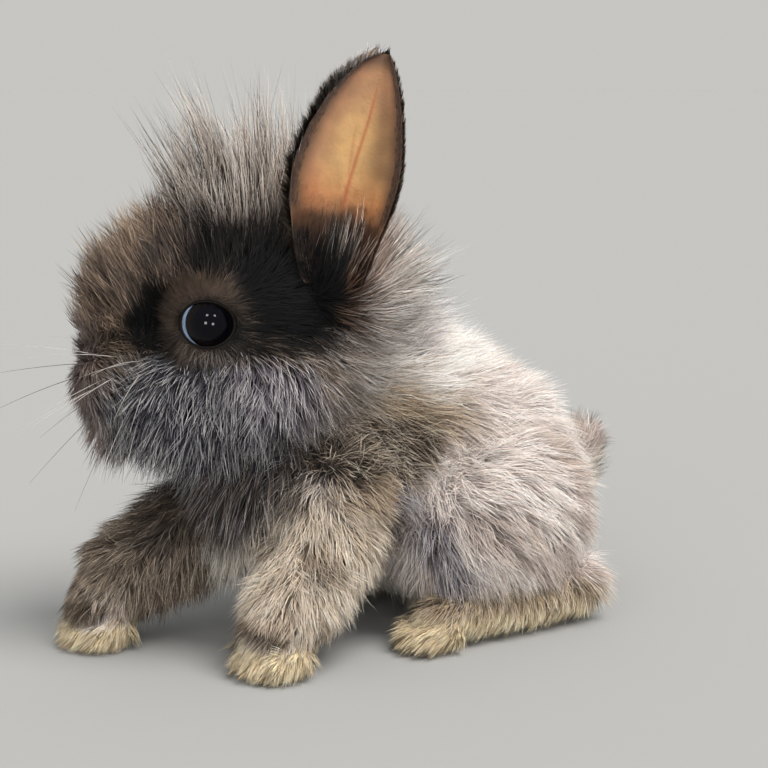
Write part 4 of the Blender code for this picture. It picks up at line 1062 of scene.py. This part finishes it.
# fur of the ear in patches: how many tufts, where along the ear and how near its edges, on which face,
# how long and deep, how far it turns out over the edge, and its two tones, or None for the ear's own
earFur = {
    "back": {"count": 9000, "share": (0.08, 1.0), "around": (0.0, 1.0), "ends": (-1, 1), "inside": False,
             "length": 2.6, "depth": 0.8, "out": 0.0, "tones": ("earTan", "earBack")},
    "edge": {"count": 2600, "share": (0.0, 0.97), "around": (0.93, 1.0), "ends": (-1, 1), "inside": False,
             "length": 2.4, "depth": 0.7, "out": 0.35, "tones": None},
    "frontEdge": {"count": 1700, "share": (0.2, 0.85), "around": (0.8, 1.0), "ends": (1, 1), "inside": False,
                  "length": 3.8, "depth": 1.5, "out": 0.8, "tones": ("earTan", "earBack")},
    "fringe": {"count": 420, "share": (0.72, 1.0), "around": (0.94, 1.0), "ends": (1, 1), "inside": False,
               "length": 3.4, "depth": 1.4, "out": 0.8, "tones": ("cream", "streak")},
    "rim": {"count": 2200, "share": (0.3, 0.98), "around": (0.84, 0.98), "ends": (-1, 1), "inside": True,
            "length": 2.4, "depth": 0.5, "out": 0.2, "tones": ("headDark", "earBrown")},
    "foot": {"count": 900, "share": (0.0, 0.16), "around": (0.62, 1.0), "ends": (1, 1), "inside": True,
             "length": 5.5, "depth": 1.8, "out": 0.1, "tones": ("black", "headDark")},
    "low": {"count": 2200, "share": (0.2, 0.42), "around": (0.0, 0.9), "ends": (-1, 1), "inside": True,
            "length": 2.6, "depth": 0.3, "out": 0.0, "tones": None},
    "cup": {"count": 2600, "share": (0.0, 0.26), "around": (0.0, 0.95), "ends": (-1, 1), "inside": True,
            "length": 4.0, "depth": 1.2, "out": 0.1, "tones": None},
}


def growEarFur(group, side, seed):
    own = np.random.default_rng(seed)
    for patch in earFur.values():
        count = patch["count"]
        share = own.uniform(*patch["share"], 4 * count)
        share = share[own.random(4 * count) < earWidth(share)][:count]
        count = len(share)
        front = own.uniform(*patch["around"], count) * own.choice(patch["ends"], count)
        around = -front * side
        layer = np.full(count, 0.5 if patch["inside"] else -0.5)
        roots = fromHead(earPoint(side, share, around, layer))
        up = fromHead(earPoint(side, np.minimum(share + 0.02, 1.02), around, layer)) - roots
        onward = fromHead(earPoint(side, share, around + 0.03, layer)) - roots
        normals = unit(np.cross(onward, up))
        middle = fromHead(earPoint(side, share, around, 0 * layer))
        away = unit(roots - middle)
        normals = normals * np.where(np.sum(normals * away, axis=1) < 0, -1.0, 1.0)[:, None]
        outward = unit(onward) * np.sign(around)[:, None] * (np.abs(around) ** 3)[:, None]
        lie = unit(unit(up) + patch["out"] * outward + 0.2 * own.normal(0, 1, (count, 3)) * patch["out"])
        ones = np.ones(count)
        look = {"lie": lie, "depth": patch["depth"] * ones, "length": patch["length"] * ones,
                "mess": 0.2 * ones, "clump": 0.3 * ones, "curl": 0.2 * ones}
        lines, mine = growTufts(roots, normals, look, earLayer, own)
        if patch["tones"]:
            shares = np.zeros((count, len(toneNames)))
            firstTone, secondTone = (toneNames.index(tone) for tone in patch["tones"])
            picked = np.where(own.random(count) < 0.6, firstTone, secondTone)
            shares[np.arange(count), picked] = 1
            tints = tuftTints([shares] * 3, mine, 1, 1.0, own)
        else:
            # the ear's own tints, with their painted glow of light through the ear, a little lighter at the
            # tip
            there = earTints(share, around, np.full(count, True), side)
            tints = there[:, None] * np.array((1.0, 1.15))[None, :, None]
            tints = tints * own.uniform(0.85, 1.15, (count, 1, 1))
        widths = 0.2 * own.uniform(0.7, 1.2, count)
        uvs = np.stack([(0.25 if patch["inside"] else 0.75) + 0.23 * around, 0.02 + 0.96 * share], axis=1)
        fileTufts(group, lines, widths, normals, tints, uvs, own)


buildEar("leftEar", 1, "left_ear")
buildEar("rightEar", -1, "right_ear")
growEarFur("leftEarFur", 1, 31)
growEarFur("rightEarFur", -1, 32)
print("ears done")
finishCoat()


# Whiskers and claws
# tapered round rods through stations, closed at both ends
def roundRods(lines, radii, sides):
    count, stations = lines.shape[:2]
    along = unit(np.gradient(lines, axis=1))
    side = unit(np.cross(along, np.array((0.13, 0.07, 1.0))))
    over = np.cross(side, along)
    angles = np.arange(sides) * 2 * math.pi / sides
    ring = np.cos(angles)[:, None] * side[:, :, None] + np.sin(angles)[:, None] * over[:, :, None]
    corners = (lines[:, :, None] + ring * radii[:, :, None, None]).reshape(count, -1, 3)
    corners = np.concatenate([corners, lines[:, :1], lines[:, -1:]], axis=1)
    faces = []
    for station in range(stations - 1):
        for step in range(sides):
            a, b = station * sides + step, station * sides + (step + 1) % sides
            faces += [(a, b + sides, b), (a, a + sides, b + sides)]
    root, tip = stations * sides, stations * sides + 1
    last = (stations - 1) * sides
    for step in range(sides):
        after = (step + 1) % sides
        faces += [(root, step, after), (tip, last + after, last + step)]
    faces = (np.array(faces)[None] + (np.arange(count) * corners.shape[1])[:, None, None]).reshape(-1, 3)
    return corners.reshape(-1, 3), faces


# four rows of whiskers a side; each starts and points a little further on than the one before it
whiskerLook = {
    "rows": 4, "places": 5, "length": 34.0, "radius": 0.1, "stations": 9, "droop": 4.0,
    "start": (23.0, 4.5, -9.5), "startPerRow": (-0.6, 0.0, -2.0), "startPerPlace": (-1.8, 0.5, 0.0),
    "way": (0.9, 0.62, 0.2), "wayPerRow": (-0.08, -0.02, -0.3), "wayPerPlace": (-0.2, 0.12, 0.02),
    "paleShare": 0.6,
}
whiskerTones = {"pale": paint(214, 210, 206), "dark": paint(84, 76, 72)}


def buildWhiskers():
    own = np.random.default_rng(51)
    lines, radii = [], []
    share = np.linspace(0, 1, whiskerLook["stations"])[:, None]
    shape = {key: np.array(value) for key, value in whiskerLook.items() if isinstance(value, tuple)}
    for side in (1, -1):
        for row in range(whiskerLook["rows"]):
            for place in range(whiskerLook["places"]):
                onRow = row + own.normal(0, 0.2)
                start = shape["start"] + shape["startPerRow"] * onRow + shape["startPerPlace"] * place
                way = shape["way"] + shape["wayPerRow"] * onRow + shape["wayPerPlace"] * place
                way = unit(way + own.normal(0, 0.04, 3))
                length = whiskerLook["length"] * own.uniform(0.7, 1.0)
                droop = np.array((0, 0, -whiskerLook["droop"] * own.uniform(0.5, 1.2)))
                line = start + length * share * way + droop * share ** 2
                lines.append(line * (1, side, 1))
                radii.append(whiskerLook["radius"] * (1 - 0.85 * share[:, 0]) * own.uniform(0.75, 1.1))
    corners, faces = roundRods(fromHead(np.array(lines)), np.array(radii), 6)
    pale = own.random(len(lines)) < whiskerLook["paleShare"]
    pale = np.repeat(pale, len(corners) // len(lines))[:, None]
    tint = np.where(pale, whiskerTones["pale"], whiskerTones["dark"])
    makePiece("whiskers", corners, faces, whiskerMaterial, tint)


clawLook = {
    "up": 3.2, "back": 0.2, "length": 4.6, "fall": 0.4, "hook": 1.5, "splay": 0.05, "radius": 0.72,
    "stations": 7, "sides": 10, "root": paint(70, 56, 44), "tip": paint(176, 154, 122),
}


def buildClaws():
    lines, radii = [], []
    stations, sides = clawLook["stations"], clawLook["sides"]
    share = np.linspace(0, 1, stations)[:, None]
    for toe in flesh["toes"]:
        for x, y, across in toePlaces(toe):
            root = np.array((x, y + clawLook["back"], clawLook["up"]))
            way = np.array((clawLook["splay"] * across, -clawLook["length"], -clawLook["fall"]))
            lines.append(root + share * way - share ** 2 * np.array((0, 0, clawLook["hook"])))
            radii.append(clawLook["radius"] * (1 - 0.86 * share[:, 0] ** 1.3))
    corners, faces = roundRods(np.array(lines), np.array(radii), sides)
    tone = np.tile(np.repeat(np.linspace(0, 1, stations), sides), len(lines)).reshape(len(lines), -1)
    tone = np.concatenate([tone, np.zeros((len(lines), 1)), np.ones((len(lines), 1))], axis=1).ravel()
    tint = blendTo(np.tile(clawLook["root"], (len(corners), 1)), clawLook["tip"], tone)
    makePiece("claws", corners, faces, hornMaterial, tint)


buildWhiskers()
buildClaws()
print("whiskers and claws done")

# Stage, light and camera
# the floor and the sky around it come out in the same pale grey: "grey" is what both look like, and
# "floorPale" the share of the floor's light that comes from the sky
stageLook = {
    "grey": (197, 196, 193), "floorPale": 0.4,
    "distance": 0.36, "focal": 1690.0, "azimuth": 55.0, "elevation": 10.0,
    "eyeAt": (210.0, 322.0), "frame": 768,
}
keyLamp = {"way": (0.57, 0.21, 1.06), "angle": 32.0, "tint": (1.0, 0.95, 0.9)}
fillLamp = {"way": (0.75, -0.8, 0.45), "angle": 60.0, "strength": 0.9}
# the four small lights on the eye: where each is seen from the middle of the eye, right and up
catchLights = {
    "places": ((-0.64, 1.5), (1.07, 1.5), (0.64, -0.43), (-0.85, -0.2)),
    "far": 0.5, "size": 0.075, "power": 0.5,
}


def buildStage():
    shape = bmesh.new()
    bmesh.ops.create_grid(shape, x_segments=8, y_segments=8, size=30.0)
    mesh = bpy.data.meshes.new("floor")
    shape.to_mesh(mesh)
    shape.free()
    floor = bpy.data.objects.new("floor", mesh)
    bpy.context.scene.collection.objects.link(floor)
    floor.location.z = -0.0001
    material, tree, shader = newMaterial("paleFloor", 1.0, 0.0)
    pale = stageLook["floorPale"]
    grey = paint(*stageLook["grey"])
    lampShare = (1 - pale) * np.array(keyLamp["tint"]) / np.mean(keyLamp["tint"])
    lit = pale * grey / grey.mean() + lampShare
    shader.inputs["Base Color"].default_value = (*(pale * grey / grey.mean() / lit), 1)
    mesh.materials.append(material)
    world = bpy.data.worlds.new("paleStudio")
    bpy.context.scene.world = world
    world.use_nodes = True
    sky = world.node_tree.nodes["Background"]
    sky.inputs["Color"].default_value = (*grey, 1)
    sky.inputs["Strength"].default_value = 1.0
    return grey.mean() * math.pi * (1 - pale) / pale


def aimed(name, data, place, target):
    obj = bpy.data.objects.new(name, data)
    bpy.context.scene.collection.objects.link(obj)
    obj.location = place
    obj.rotation_euler = (Vector(target) - Vector(place)).to_track_quat("-Z", "Y").to_euler()
    return obj


def buildLamps(onFloor):
    keyWay, fillWay = (Vector(lamp["way"]).normalized() for lamp in (keyLamp, fillLamp))
    fill = bpy.data.lights.new("fill", "SUN")
    fill.angle = math.radians(fillLamp["angle"])
    fill.energy = fillLamp["strength"]
    key = bpy.data.lights.new("key", "SUN")
    key.angle = math.radians(keyLamp["angle"])
    key.energy = (onFloor - fillLamp["strength"] * fillWay.z) / keyWay.z
    for lamp in (key, fill):
        lamp.color = np.array(keyLamp["tint"]) / np.mean(keyLamp["tint"])
    for name, light, way in (("key", key, keyWay), ("fill", fill, fillWay)):
        aimed(name, light, way, Vector((0, 0, 0))).visible_glossy = False


def buildCamera():
    azimuth, elevation = math.radians(stageLook["azimuth"]), math.radians(stageLook["elevation"])
    back = Vector((
        math.sin(azimuth) * math.cos(elevation), -math.cos(azimuth) * math.cos(elevation), math.sin(elevation)
    ))
    right = Vector((math.cos(azimuth), math.sin(azimuth), 0))
    up = back.cross(right)
    half = stageLook["frame"] / 2
    scale = stageLook["distance"] / stageLook["focal"]
    eye = Vector(toFrame(fromHead((0, eyeLook["out"], 0))))
    place = eye + back * stageLook["distance"]
    place -= right * (stageLook["eyeAt"][0] - half) * scale + up * (half - stageLook["eyeAt"][1]) * scale
    data = bpy.data.cameras.new("camera")
    data.sensor_width = 36
    data.lens = stageLook["focal"] / stageLook["frame"] * 36
    data.clip_start = 0.01
    data.clip_end = 200
    camera = bpy.data.objects.new("camera", data)
    camera.matrix_world = Matrix.Translation(place) @ Matrix((right, up, back)).transposed().to_4x4()
    bpy.context.scene.collection.objects.link(camera)
    bpy.context.scene.camera = camera
    return eye, place, right, up


def buildCatchLights(eye, camera, right, up):
    back = (camera - eye).normalized()
    for index, (across, high) in enumerate(catchLights["places"]):
        offset = (right * across + up * high) / eyeLook["radius"]
        normal = offset + back * math.sqrt(1 - offset.length_squared)
        way = 2 * normal.dot(back) * normal - back
        light = bpy.data.lights.new(f"catchLight{index + 1}", "AREA")
        light.size = catchLights["size"]
        light.energy = catchLights["power"]
        lamp = aimed(f"catchLight{index + 1}", light, eye + way * catchLights["far"], eye)
        lamp.visible_diffuse = False


buildLamps(buildStage())
buildCatchLights(*buildCamera())
bpy.context.scene.view_settings.view_transform = "Standard"
print("stage, light and camera done")
